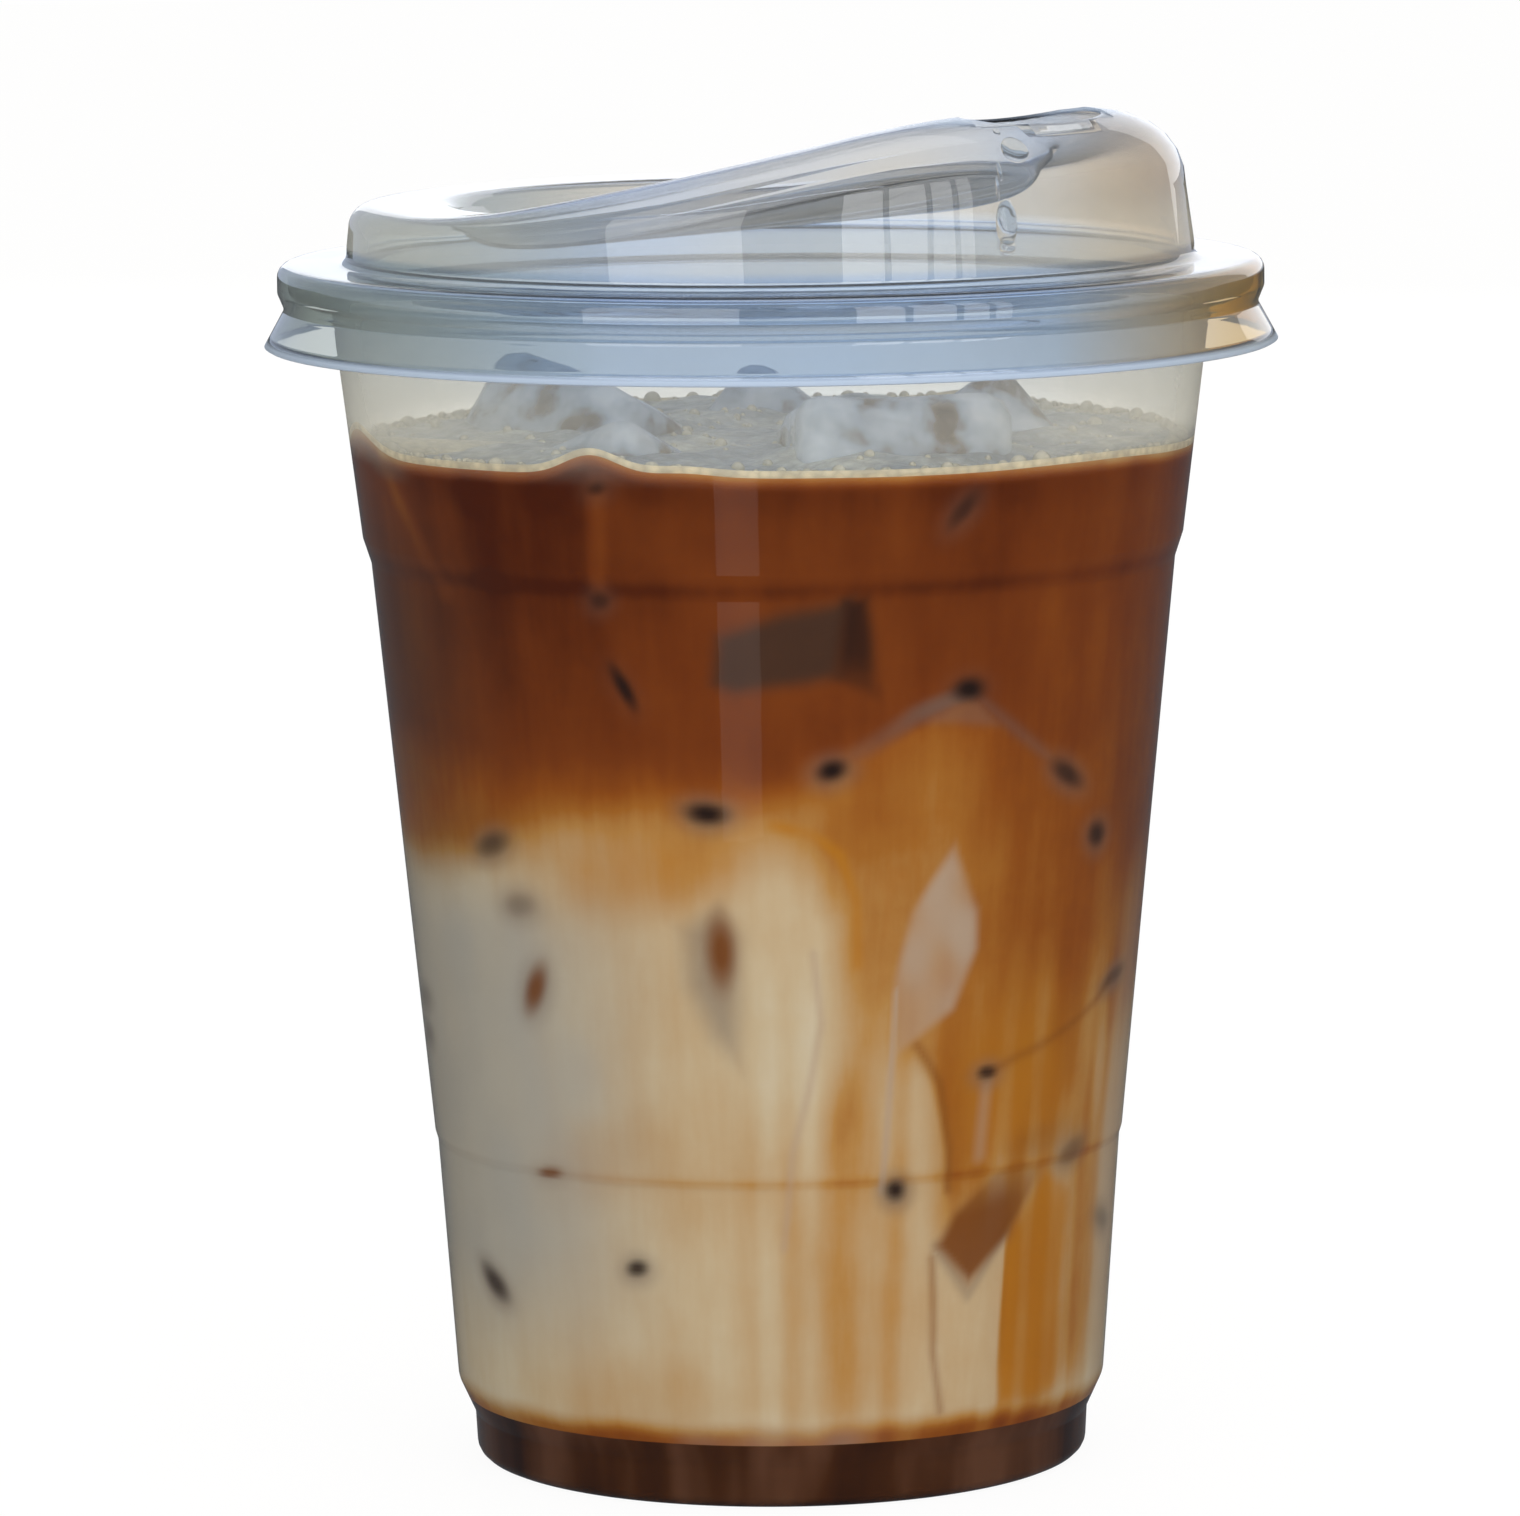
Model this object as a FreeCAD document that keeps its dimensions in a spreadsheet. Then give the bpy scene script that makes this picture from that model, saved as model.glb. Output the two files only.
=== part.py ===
import FreeCAD, Part
import Sketcher
import math
import os

# Iced caramel latte in a clear takeaway cup with a clear strawless sip lid.
# Millimetres, +Z up, origin at the centre of the foot ring, on the plane it stands on.
# The sip side of the lid points to SPOUT_TURN, counted from +X about +Z.

# Driving dimensions. Each becomes a named cell of the spreadsheet.
SIZES = {
    # clear cup, outside of its wall
    "cup_wall": 0.6,
    "wall_ease": 0.3,
    "push_height": 2.6,
    "push_radius": 25.6,
    "ring_radius": 27.4,
    "foot_radius": 31.65,
    "foot_top_radius": 31.9,
    "foot_top_height": 4.7,
    "shoulder_radius": 33.6,
    "shoulder_height": 8.4,
    "step_low_radius": 35.4,
    "step_low_height": 33.4,
    "step_top_radius": 35.7,
    "step_top_height": 34.4,
    "ledge_low_radius": 41.45,
    "ledge_low_height": 93.6,
    "ledge_top_radius": 42.3,
    "ledge_top_height": 96.2,
    "neck_radius": 45.3,
    "rim_low_height": 120.7,
    "rim_radius": 49.6,
    "rim_top_height": 123.7,
    "rim_round": 1.4,
    "foot_round": 1.6,
    "shoulder_round": 3.0,
    "ledge_round": 1.6,
    # levels of the drink
    "caramel_level": 5.6,
    "milk_level": 73.5,
    "coffee_level": 106.2,
    "foam_level": 107.6,
    # clear lid: flange, bead and snap skirt
    "lid_wall": 0.6,
    "flange_height": 124.4,
    "bead_radius": 50.7,
    "bead_low_height": 121.5,
    "bead_round": 1.3,
    "lid_neck_radius": 50.0,
    "lid_neck_height": 119.8,
    "skirt_radius": 52.1,
    "skirt_height": 116.0,
    # clear lid: mound with its rising ridge and sunken middle
    "mound_foot_radius": 43.6,
    "mound_top_radius": 42.6,
    "mound_split_height": 125.6,
    "mound_full_height": 141.2,
    "ridge_low_height": 130.4,
    "ridge_start": -16.0,
    "ridge_hollow_radius": 120.0,
    "ridge_crest_radius": 45.0,
    "ridge_crest_place": 45.7,
    "ridge_round": 2.3,
    "crown_round": 9.5,
    "ridge_block_back": -60.0,
    "ridge_block_under": 100.0,
    "edge_margin": 1.0,
    "cut_margin": 5.0,
    "recess_depth": 3.6,
    "recess_shift": -2.5,
    "recess_foot_radius": 29.2,
    "recess_top_radius": 32.0,
    "recess_round": 1.4,
    "sip_place": 35.0,
    "sip_half_length": 10.0,
    "sip_half_width": 4.3,
    "vent_place": -21.0,
    "vent_radius": 1.5,
    # ice cubes that stand out of the drink
    "ice_size": 22.0,
    "ice_round": 2.4,
}

SPOUT_TURN = -42.0

# How near an edge's middle has to be to the ridge or floor to be rounded with it.
EDGE_TOLERANCE = 0.02

# Each ice cube: bearing and distance of its centre from the axis, height of its
# centre, its yaw, pitch and roll, and its three sides as shares of ice_size.
ICE_CUBES = [
    (7.0, 22.1, 96.5, 16.0, -34.0, -32.0, (1.00, 0.92, 0.99)),
    (87.0, 26.1, 96.9, 63.0, 25.0, 33.0, (0.95, 0.90, 0.92)),
    (159.0, 21.4, 98.8, 48.0, 28.0, 13.0, (1.04, 1.03, 1.05)),
    (232.0, 25.0, 95.9, 43.0, 25.0, -22.0, (0.93, 0.86, 0.91)),
    (300.0, 24.0, 100.4, 7.0, 2.0, -15.0, (1.00, 0.94, 0.98)),
]

doc = FreeCAD.newDocument("caramel_latte")


def make_sheet():
    """Write every driving dimension into a named cell."""
    sheet = doc.addObject("Spreadsheet::Sheet", "sizes")
    for row, (name, value) in enumerate(SIZES.items(), start=1):
        sheet.set("A%d" % row, name)
        sheet.set("B%d" % row, str(value))
        sheet.setAlias("B%d" % row, name)
    doc.recompute()


def bind(item, **formulas):
    """Bind properties to formulas of the sheet's cells."""
    for prop, formula in formulas.items():
        item.setExpression(prop, formula)


def cells(formula):
    """Turn plain cell names in a formula into references to the sheet."""
    words = []
    for word in formula.split(" "):
        words.append("sizes." + word if word in SIZES else word)
    return " ".join(words)


def value(formula):
    """The number that a formula of cell names gives."""
    total = 0.0
    sign = 1.0
    for word in formula.split(" "):
        if word == "+":
            sign = 1.0
        elif word == "-":
            sign = -1.0
        else:
            total += sign * (SIZES[word] if word in SIZES else float(word))
    return total


def pin(sketch, index, which, across, up):
    """Hold a point of a sketch at the distances that two formulas give."""
    for kind, formula in (("DistanceX", across), ("DistanceY", up)):
        amount = value(formula)
        if kind == "DistanceX" and amount == 0.0:
            sketch.addConstraint(Sketcher.Constraint("PointOnObject", index, which, -2))
            continue
        number = sketch.addConstraint(
            Sketcher.Constraint(kind, -1, 1, index, which, amount))
        sketch.setExpression("Constraints[%d]" % number, cells(formula))


def turned_body(name, corners):
    """A body turned about Z from an outline of (radius, height) formulas."""
    body = doc.addObject("PartDesign::Body", name)
    sketch = body.newObject("Sketcher::SketchObject", name + "_outline")
    plane = [f for f in body.Origin.OriginFeatures if f.Role == "XZ_Plane"][0]
    sketch.AttachmentSupport = [(plane, "")]
    sketch.MapMode = "FlatFace"
    points = [FreeCAD.Vector(value(r), value(z), 0) for r, z in corners]
    count = len(points)
    for i in range(count):
        sketch.addGeometry(Part.LineSegment(points[i], points[(i + 1) % count]), False)
    for i in range(count):
        sketch.addConstraint(
            Sketcher.Constraint("Coincident", i, 2, (i + 1) % count, 1))
    for i, (radius, height) in enumerate(corners):
        pin(sketch, i, 1, radius, height)
    turn = body.newObject("PartDesign::Revolution", name + "_turn")
    turn.Profile = sketch
    turn.ReferenceAxis = (sketch, ["V_Axis"])
    turn.Angle = 360.0
    sketch.Visibility = False
    doc.recompute()
    return body, turn


def ring_edges(shape, corners):
    """Names of the circular edges at the given (radius, height) formulas."""
    names = []
    for radius, height in corners:
        for number, edge in enumerate(shape.Edges, start=1):
            if not isinstance(edge.Curve, Part.Circle):
                continue
            near_radius = abs(edge.Curve.Radius - value(radius)) < 0.01
            near_height = abs(edge.Curve.Center.z - value(height)) < 0.01
            if near_radius and near_height:
                names.append("Edge%d" % number)
    return names


def round_rings(body, base, name, corners, formula):
    """Round the ring edges of a turned body at some corners of its outline."""
    names = ring_edges(base.Shape, corners)
    if len(names) != len(corners):
        raise ValueError("%s found %d of %d edges" % (name, len(names), len(corners)))
    fillet = body.newObject("PartDesign::Fillet", name)
    fillet.Base = (base, names)
    bind(fillet, Radius=cells(formula))
    doc.recompute()
    return fillet


# Outside of the cup's wall from the axis of its base to the neck under the rim.
CUP_OUTSIDE = [
    ("0", "push_height"),
    ("push_radius", "push_height"),
    ("ring_radius", "0"),
    ("foot_radius", "0"),
    ("foot_top_radius", "foot_top_height"),
    ("shoulder_radius", "shoulder_height"),
    ("step_low_radius", "step_low_height"),
    ("step_top_radius", "step_top_height"),
    ("ledge_low_radius", "ledge_low_height"),
    ("ledge_top_radius", "ledge_top_height"),
    ("neck_radius", "rim_low_height"),
]

# Inside of the same wall: the base is moved up by the wall, the side is moved in.
CUP_INSIDE = [
    ("0", "push_height + cup_wall"),
    ("push_radius + wall_ease", "push_height + cup_wall"),
    ("ring_radius + wall_ease", "cup_wall"),
    ("foot_radius - cup_wall", "cup_wall"),
    ("foot_top_radius - cup_wall", "foot_top_height + wall_ease"),
    ("shoulder_radius - cup_wall", "shoulder_height + wall_ease"),
    ("step_low_radius - cup_wall", "step_low_height"),
    ("step_top_radius - cup_wall", "step_top_height"),
    ("ledge_low_radius - cup_wall", "ledge_low_height"),
    ("ledge_top_radius - cup_wall", "ledge_top_height"),
    ("neck_radius - cup_wall", "rim_low_height"),
]


def make_cup():
    """The clear cup: pushed-up base, foot ring, two steps and a rolled rim."""
    rim = [
        ("rim_radius", "rim_low_height"),
        ("rim_radius", "rim_top_height"),
        ("neck_radius - cup_wall", "rim_top_height"),
    ]
    outline = CUP_OUTSIDE + rim + list(reversed(CUP_INSIDE))
    body, last = turned_body("cup", outline)
    last = round_rings(body, last, "cup_rim_round", rim, "rim_round")
    last = round_rings(body, last, "cup_foot_round", [CUP_OUTSIDE[3]], "foot_round")
    last = round_rings(
        body, last, "cup_foot_inside", [CUP_INSIDE[3]], "foot_round - cup_wall")
    last = round_rings(
        body, last, "cup_shoulder_round", [CUP_OUTSIDE[5], CUP_INSIDE[5]], "shoulder_round")
    last = round_rings(
        body, last, "cup_ledge_round",
        [CUP_OUTSIDE[8], CUP_INSIDE[8], CUP_OUTSIDE[9], CUP_INSIDE[9]], "ledge_round")
    body.Tip = last
    return body



def slab(name, cavity, low, high):
    """What the cup's cavity holds between two levels."""
    block = doc.addObject("Part::Cylinder", name + "_slab")
    bind(block, Radius=cells("rim_radius"), Height=cells(high + " - " + low))
    block.setExpression("Placement.Base.z", cells(low))
    layer = doc.addObject("Part::Common", name + "_layer")
    layer.Base = cavity
    layer.Tool = block
    return layer


def make_cavity():
    """The space inside the cup's wall, up to the rim."""
    outline = CUP_INSIDE + [("0", "rim_low_height")]
    body, last = turned_body("cup_cavity", outline)
    last = round_rings(
        body, last, "cavity_foot_round", [CUP_INSIDE[3]], "foot_round - cup_wall")
    last = round_rings(
        body, last, "cavity_shoulder_round", [CUP_INSIDE[5]], "shoulder_round")
    last = round_rings(
        body, last, "cavity_ledge_round", [CUP_INSIDE[8], CUP_INSIDE[9]], "ledge_round")
    body.Tip = last
    return body


def make_ice(number, bearing, distance, height, yaw, pitch, roll, shares):
    """One ice cube with soft edges, tilted as it floats."""
    name = "ice_%d" % number
    block = doc.addObject("Part::Box", name + "_block")
    for prop, share in zip(("Length", "Width", "Height"), shares):
        block.setExpression(prop, "sizes.ice_size * %.2f" % share)
    doc.recompute()
    sides = FreeCAD.Vector(block.Length.Value, block.Width.Value, block.Height.Value)
    turn = FreeCAD.Rotation(yaw, pitch, roll)
    angle = math.radians(bearing)
    centre = FreeCAD.Vector(distance * math.cos(angle), distance * math.sin(angle), height)
    block.Placement = FreeCAD.Placement(centre - turn.multVec(sides * 0.5), turn)
    cube = doc.addObject("Part::Fillet", name)
    cube.Base = block
    radius = SIZES["ice_round"]
    cube.Edges = [(edge, radius, radius) for edge in range(1, 13)]
    cube.Label = name
    return cube


def make_drink(cavity, ice):
    """Syrup on the bottom, milk, coffee and a skin of foam, each a solid layer."""
    cubes = doc.addObject("Part::Compound", "ice_cubes")
    cubes.Links = ice
    levels = [
        ("caramel", "0", "caramel_level"),
        ("milk", "caramel_level", "milk_level"),
        ("coffee", "milk_level", "coffee_level"),
        ("foam", "coffee_level", "foam_level"),
    ]
    layers = []
    for name, low, high in levels:
        layer = slab(name, cavity, low, high)
        if name in ("coffee", "foam"):
            around = doc.addObject("Part::Cut", name)
            around.Base = layer
            around.Tool = cubes
            layer = around
        layer.Label = name
        layers.append(layer)
    return layers


# Outline of the lid's flange, bead and skirt: outside downwards, then back inside.
LID_OUTSIDE = [
    ("mound_foot_radius", "mound_split_height"),
    ("mound_foot_radius", "flange_height"),
    ("bead_radius", "flange_height"),
    ("bead_radius", "bead_low_height"),
    ("lid_neck_radius", "lid_neck_height"),
    ("skirt_radius", "skirt_height"),
]
LID_INSIDE = [
    ("mound_foot_radius - lid_wall", "mound_split_height"),
    ("mound_foot_radius - lid_wall", "flange_height - lid_wall"),
    ("bead_radius - lid_wall", "flange_height - lid_wall"),
    ("bead_radius - lid_wall", "bead_low_height"),
    ("lid_neck_radius - lid_wall", "lid_neck_height"),
    ("skirt_radius - lid_wall", "skirt_height"),
]


def make_lid_ring():
    """Flange, snap bead and flared skirt of the lid."""
    body, last = turned_body("lid_ring", LID_OUTSIDE + list(reversed(LID_INSIDE)))
    last = round_rings(body, last, "lid_bead_round", [LID_OUTSIDE[2]], "bead_round")
    last = round_rings(
        body, last, "lid_bead_inside", [LID_INSIDE[2]], "bead_round - lid_wall")
    last = round_rings(body, last, "lid_foot_round", [LID_OUTSIDE[1]], "bead_round - wall_ease")
    body.Tip = last
    return body


def ridge_block(name, inset, drop):
    """Everything under the ridge: low in front, then a hollow and a crest as arcs.

    The hollow's arc starts level, the crest's arc ends level, and they meet
    tangent. Lowering by the wall makes one radius larger and the other smaller.
    """
    low = value("ridge_low_height") - inset - drop
    hollow = value("ridge_hollow_radius") + inset
    crest = value("ridge_crest_radius") - inset
    start = value("ridge_start")
    place = value("ridge_crest_place")
    back = value("ridge_block_back")
    under = value("ridge_block_under")
    lean = math.asin((place - start) / (hollow + crest))
    meet = FreeCAD.Vector(
        start + hollow * math.sin(lean), low + hollow * (1.0 - math.cos(lean)), 0)
    top = low + (hollow + crest) * (1.0 - math.cos(lean))
    corners = [
        FreeCAD.Vector(back, low, 0),
        FreeCAD.Vector(start, low, 0),
        meet,
        FreeCAD.Vector(place, top, 0),
        FreeCAD.Vector(place, under, 0),
        FreeCAD.Vector(back, under, 0),
    ]
    sketch = doc.addObject("Sketcher::SketchObject", name + "_outline")
    sketch.addGeometry(Part.LineSegment(corners[0], corners[1]), False)
    hollow_circle = Part.Circle(
        FreeCAD.Vector(start, low + hollow, 0), FreeCAD.Vector(0, 0, 1), hollow)
    down = -math.pi / 2
    sketch.addGeometry(Part.ArcOfCircle(hollow_circle, down, down + lean), False)
    crest_circle = Part.Circle(
        FreeCAD.Vector(place, top - crest, 0), FreeCAD.Vector(0, 0, 1), crest)
    sketch.addGeometry(Part.ArcOfCircle(crest_circle, -down, -down + lean), False)
    for i in (3, 4, 5):
        sketch.addGeometry(Part.LineSegment(corners[i], corners[(i + 1) % 6]), False)
    rule = Sketcher.Constraint
    sketch.addConstraint(rule("Tangent", 0, 2, 1, 1))
    sketch.addConstraint(rule("Tangent", 1, 2, 2, 2))
    sketch.addConstraint(rule("Coincident", 2, 1, 3, 1))
    sketch.addConstraint(rule("Coincident", 3, 2, 4, 1))
    sketch.addConstraint(rule("Coincident", 4, 2, 5, 1))
    sketch.addConstraint(rule("Coincident", 5, 2, 0, 1))
    sketch.addConstraint(rule("Horizontal", 0))
    sketch.addConstraint(rule("Vertical", 3))
    sketch.addConstraint(rule("Horizontal", 4))
    sketch.addConstraint(rule("Vertical", 5))
    sketch.addConstraint(rule("Vertical", 2, 3, 2, 1))
    measures = [
        ("Radius", (1,), "ridge_hollow_radius + %g" % inset),
        ("Radius", (2,), "ridge_crest_radius - %g" % inset),
        ("DistanceX", (-1, 1, 0, 2), "ridge_start"),
        ("DistanceX", (-1, 1, 2, 1), "ridge_crest_place"),
        ("DistanceY", (-1, 1, 0, 1), "ridge_low_height - %g - %g" % (inset, drop)),
        ("DistanceY", (-1, 1, 4, 1), "ridge_block_under"),
        ("DistanceX", (-1, 1, 4, 2), "ridge_block_back"),
    ]
    for kind, where, formula in measures:
        amount = value(formula)
        number = sketch.addConstraint(rule(kind, *where, amount))
        sketch.setExpression("Constraints[%d]" % number, cells(formula))
    upright = FreeCAD.Rotation(FreeCAD.Vector(1, 0, 0), 90)
    sketch.Placement = FreeCAD.Placement(FreeCAD.Vector(0, 0, 0), upright)
    block = doc.addObject("Part::Extrusion", name)
    block.Base = sketch
    block.DirMode = "Normal"
    block.Solid = True
    block.Symmetric = True
    bind(block, LengthFwd="sizes.rim_radius * 2")
    doc.recompute()
    return block


def ridge_height(place, inset, drop):
    """Height of the ridge's surface at a distance from the axis towards the sip side."""
    low = value("ridge_low_height") - inset - drop
    hollow = value("ridge_hollow_radius") + inset
    crest = value("ridge_crest_radius") - inset
    start = value("ridge_start")
    crest_place = value("ridge_crest_place")
    lean = math.asin((crest_place - start) / (hollow + crest))
    if place <= start:
        return low
    if place <= start + hollow * math.sin(lean):
        return low + hollow - math.sqrt(hollow ** 2 - (place - start) ** 2)
    top = low + (hollow + crest) * (1.0 - math.cos(lean))
    return top - crest + math.sqrt(max(crest ** 2 - (crest_place - place) ** 2, 0.0))


def cone(name, low_radius, high_radius, low, high):
    """An upright cone frustum between two heights, all given as formulas."""
    item = doc.addObject("Part::Cone", name)
    bind(item, Radius1=cells(low_radius), Radius2=cells(high_radius))
    bind(item, Height=cells(high + " - " + low))
    item.setExpression("Placement.Base.z", cells(low))
    return item


def mound_edges(shape, inset):
    """The mound's curved edges on its ridge and on its sunken floor, to be rounded."""
    depth = value("recess_depth")
    inside = value("recess_top_radius") + value("edge_margin")
    rounds = []
    for number, edge in enumerate(shape.Edges, start=1):
        if isinstance(edge.Curve, Part.Line):
            continue
        first, last = edge.ParameterRange
        middle = edge.valueAt((first + last) / 2)
        distance = math.hypot(middle.x - value("recess_shift"), middle.y)
        on_top = abs(middle.z - ridge_height(middle.x, inset, 0.0)) < EDGE_TOLERANCE
        on_floor = abs(middle.z - ridge_height(middle.x, inset, depth)) < EDGE_TOLERANCE
        if on_top and distance > inside:
            rounds.append((number, "ridge_round", -inset))
        elif on_top:
            rounds.append((number, "recess_round", -inset))
        elif on_floor:
            rounds.append((number, "recess_round", inset))
    return [(number, value(name) + more, value(name) + more) for number, name, more in rounds]


def mound(name, wall, inset):
    """The lid's mound as a full block, smaller on every side by a share of the wall."""
    side = cone(name + "_side", "mound_foot_radius" + wall, "mound_top_radius" + wall,
                "mound_split_height", "mound_full_height" + wall)
    doc.recompute()
    crown = doc.addObject("Part::Fillet", name + "_crown")
    crown.Base = side
    crown_round = value("crown_round") - inset
    top = [number for number, edge in enumerate(side.Shape.Edges, start=1)
           if edge.BoundBox.ZMin > value("mound_full_height") - value("edge_margin")]
    crown.Edges = [(number, crown_round, crown_round) for number in top]
    ridge = ridge_block(name + "_ridge", inset, 0.0)
    body = doc.addObject("Part::Common", name + "_body")
    body.Base = crown
    body.Tool = ridge
    grow = wall.replace("-", "+")
    well = cone(name + "_well", "recess_foot_radius" + grow, "recess_top_radius" + grow,
                "mound_split_height", "mound_full_height")
    well.setExpression("Placement.Base.x", cells("recess_shift"))
    floor = ridge_block(name + "_floor", inset, value("recess_depth"))
    recess = doc.addObject("Part::Cut", name + "_recess")
    recess.Base = well
    recess.Tool = floor
    sunk = doc.addObject("Part::Cut", name + "_sunk")
    sunk.Base = body
    sunk.Tool = recess
    doc.recompute()
    soft = doc.addObject("Part::Fillet", name)
    soft.Base = sunk
    soft.Edges = mound_edges(sunk.Shape, inset)
    doc.recompute()
    return soft


def make_lid(ring):
    """The clear lid: hollow mound on its ring, with a sip opening and a vent hole."""
    outer = mound("mound_outer", "", 0.0)
    inner = mound("mound_inner", " - lid_wall", value("lid_wall"))
    shell = doc.addObject("Part::Cut", "mound_shell")
    shell.Base = outer
    shell.Tool = inner
    whole = doc.addObject("Part::Fuse", "lid_blank")
    whole.Base = shell
    whole.Tool = ring
    whole.Refine = True
    oval = doc.addObject("Part::Ellipse", "sip_outline")
    bind(oval, MajorRadius="sizes.sip_half_length", MinorRadius="sizes.sip_half_width")
    across = FreeCAD.Rotation(FreeCAD.Vector(0, 0, 1), 90)
    oval.Placement = FreeCAD.Placement(FreeCAD.Vector(0, 0, value("flange_height")), across)
    oval.setExpression("Placement.Base.x", "sizes.sip_place")
    sip = doc.addObject("Part::Extrusion", "sip_opening")
    sip.Base = oval
    sip.DirMode = "Normal"
    sip.Solid = True
    bind(sip, LengthFwd="sizes.mound_full_height - sizes.flange_height + sizes.cut_margin")
    vent = cone("vent_hole", "vent_radius", "vent_radius", "flange_height", "mound_full_height")
    vent.setExpression("Placement.Base.x", "sizes.vent_place")
    holes = doc.addObject("Part::Compound", "lid_holes")
    holes.Links = [sip, vent]
    lid = doc.addObject("Part::Cut", "lid")
    lid.Base = whole
    lid.Tool = holes
    lid.Label = "lid"
    lid.Placement = FreeCAD.Placement(
        FreeCAD.Vector(0, 0, 0), FreeCAD.Rotation(FreeCAD.Vector(0, 0, 1), SPOUT_TURN))
    doc.recompute()
    return lid


def check_and_write(nodes):
    """Refuse failed objects and bad shapes, then write one file for each node."""
    doc.recompute()
    for item in doc.Objects:
        if "Invalid" in item.State or "Error" in item.State:
            raise ValueError("failed: %s %s" % (item.Name, item.State))
    os.makedirs("parts", exist_ok=True)
    for node in nodes:
        shape = node.Shape
        if shape.isNull() or not shape.isValid() or len(shape.Solids) != 1:
            raise ValueError("bad shape: " + node.Label)
        shape.exportStep("parts/%s.step" % node.Label)
        print(node.Label, round(shape.Volume), [round(v, 2) for v in (
            shape.BoundBox.XMin, shape.BoundBox.XMax, shape.BoundBox.YMin,
            shape.BoundBox.YMax, shape.BoundBox.ZMin, shape.BoundBox.ZMax)])


make_sheet()
cup = make_cup()
cavity = make_cavity()
ice = [make_ice(number, *place) for number, place in enumerate(ICE_CUBES, start=1)]
layers = make_drink(cavity, ice)
lid = make_lid(make_lid_ring())
check_and_write([cup, lid] + ice + layers)
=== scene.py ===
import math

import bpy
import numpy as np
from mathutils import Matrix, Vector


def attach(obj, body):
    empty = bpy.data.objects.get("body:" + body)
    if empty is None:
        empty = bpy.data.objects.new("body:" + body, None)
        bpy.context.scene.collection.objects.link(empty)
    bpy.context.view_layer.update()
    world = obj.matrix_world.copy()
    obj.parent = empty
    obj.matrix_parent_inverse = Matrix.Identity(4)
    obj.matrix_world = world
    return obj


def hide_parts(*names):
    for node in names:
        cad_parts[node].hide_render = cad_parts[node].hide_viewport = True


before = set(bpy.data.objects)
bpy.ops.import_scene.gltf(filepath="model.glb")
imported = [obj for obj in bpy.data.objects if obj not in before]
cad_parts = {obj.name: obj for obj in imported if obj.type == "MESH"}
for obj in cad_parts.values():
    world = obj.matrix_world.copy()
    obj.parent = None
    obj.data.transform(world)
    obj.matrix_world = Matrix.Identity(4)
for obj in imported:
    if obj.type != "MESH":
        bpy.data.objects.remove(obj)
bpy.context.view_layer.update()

# Looks of an iced caramel latte in a clear takeaway cup with a clear strawless sip lid.
# Lengths in the functions below are millimetres; build() turns them into metres.
# Bearings count in degrees from the side nearest the viewer (-Y), positive towards +X.

MM = 0.001
SPOUT_TURN = math.radians(-42.0)     # the sip side, from +X

# ---------------------------------------------------------------- sizes

PET_LAP = 0.2                        # how far a liquid reaches into the clear wall
NEARLY_STRAIGHT = 1.56               # half the angle of a corner too flat to round
CREASE = 55.0                        # faces that meet at more than this stay sharp

# Outside of the cup: radius, height and rounding of each corner.
CUP_OUTSIDE = [
    (0.0, 2.6, 0.0), (25.6, 2.6, 0.8), (27.4, 0.0, 0.4), (31.65, 0.0, 1.6),
    (31.9, 4.7, 0.8), (33.6, 8.4, 3.0), (35.4, 33.4, 0.8), (35.7, 34.4, 0.8),
    (41.45, 93.6, 1.6), (42.3, 96.2, 1.6), (45.3, 120.7, 0.5),
]
CUP_RIM = [(49.6, 120.7, 1.45), (49.6, 123.7, 1.45), (44.7, 123.7, 1.4)]
CUP_INSIDE = [
    (0.0, 3.2, 0.0), (25.9, 3.2, 0.6), (27.7, 0.6, 0.3), (31.05, 0.6, 1.0),
    (31.3, 5.0, 0.8), (33.0, 8.7, 3.0), (34.8, 33.4, 0.8), (35.1, 34.4, 0.8),
    (40.85, 93.6, 1.6), (41.7, 96.2, 1.6), (44.7, 120.7, 0.5),
]

# Levels of the drink: the ledge that ends the cup's base, the tops of the syrup, milk
# and coffee, and the top and underside of the foam.
SYRUP_LEDGE, SYRUP_TOP, MILK_TOP, COFFEE_TOP = 4.9, 6.8, 73.5, 106.2
FOAM_TOP, FOAM_UNDER = 106.0, 104.2
STEP_LINE_SHADE = ((94.6, 0.8), (34.0, 0.5))     # height and width of the painted shade along the cup's two step lines

# Lid: bead, neck and skirt outside, then the ridge of the mound.
LID_RING = [
    (43.6, 124.4, 1.0), (50.7, 124.4, 1.3), (50.7, 121.5, 0.9),
    (50.0, 119.8, 0.8), (52.1, 116.0, 0.0),
]
LID_SHEET = 0.38                     # thickness of the formed sheet
MOUND_FOOT, MOUND_TOP = 43.6, 42.6
MOUND_FOOT_HEIGHT, MOUND_FULL_HEIGHT = 125.4, 142.5
RIDGE_LOW, RIDGE_START = 130.4, -16.0
RIDGE_HOLLOW, RIDGE_CREST, RIDGE_CREST_PLACE = 120.0, 45.0, 45.7
RECESS_DEPTH, RECESS_SHIFT = 3.6, -2.5
RECESS_FLOOR, RECESS_RIM, RECESS_ROUND = 29.4, 30.6, 1.4
CROWN_LOW_ROUND, CROWN_HIGH_ROUND = 2.3, 9.3
SIP_PLACE, SIP_HALF_LENGTH, SIP_HALF_WIDTH = 35.0, 10.0, 4.3
VENT_PLACE, VENT_RADIUS = -21.0, 1.5
CUTTER_LOW, CUTTER_HIGH = 120.0, 150.0

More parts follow.
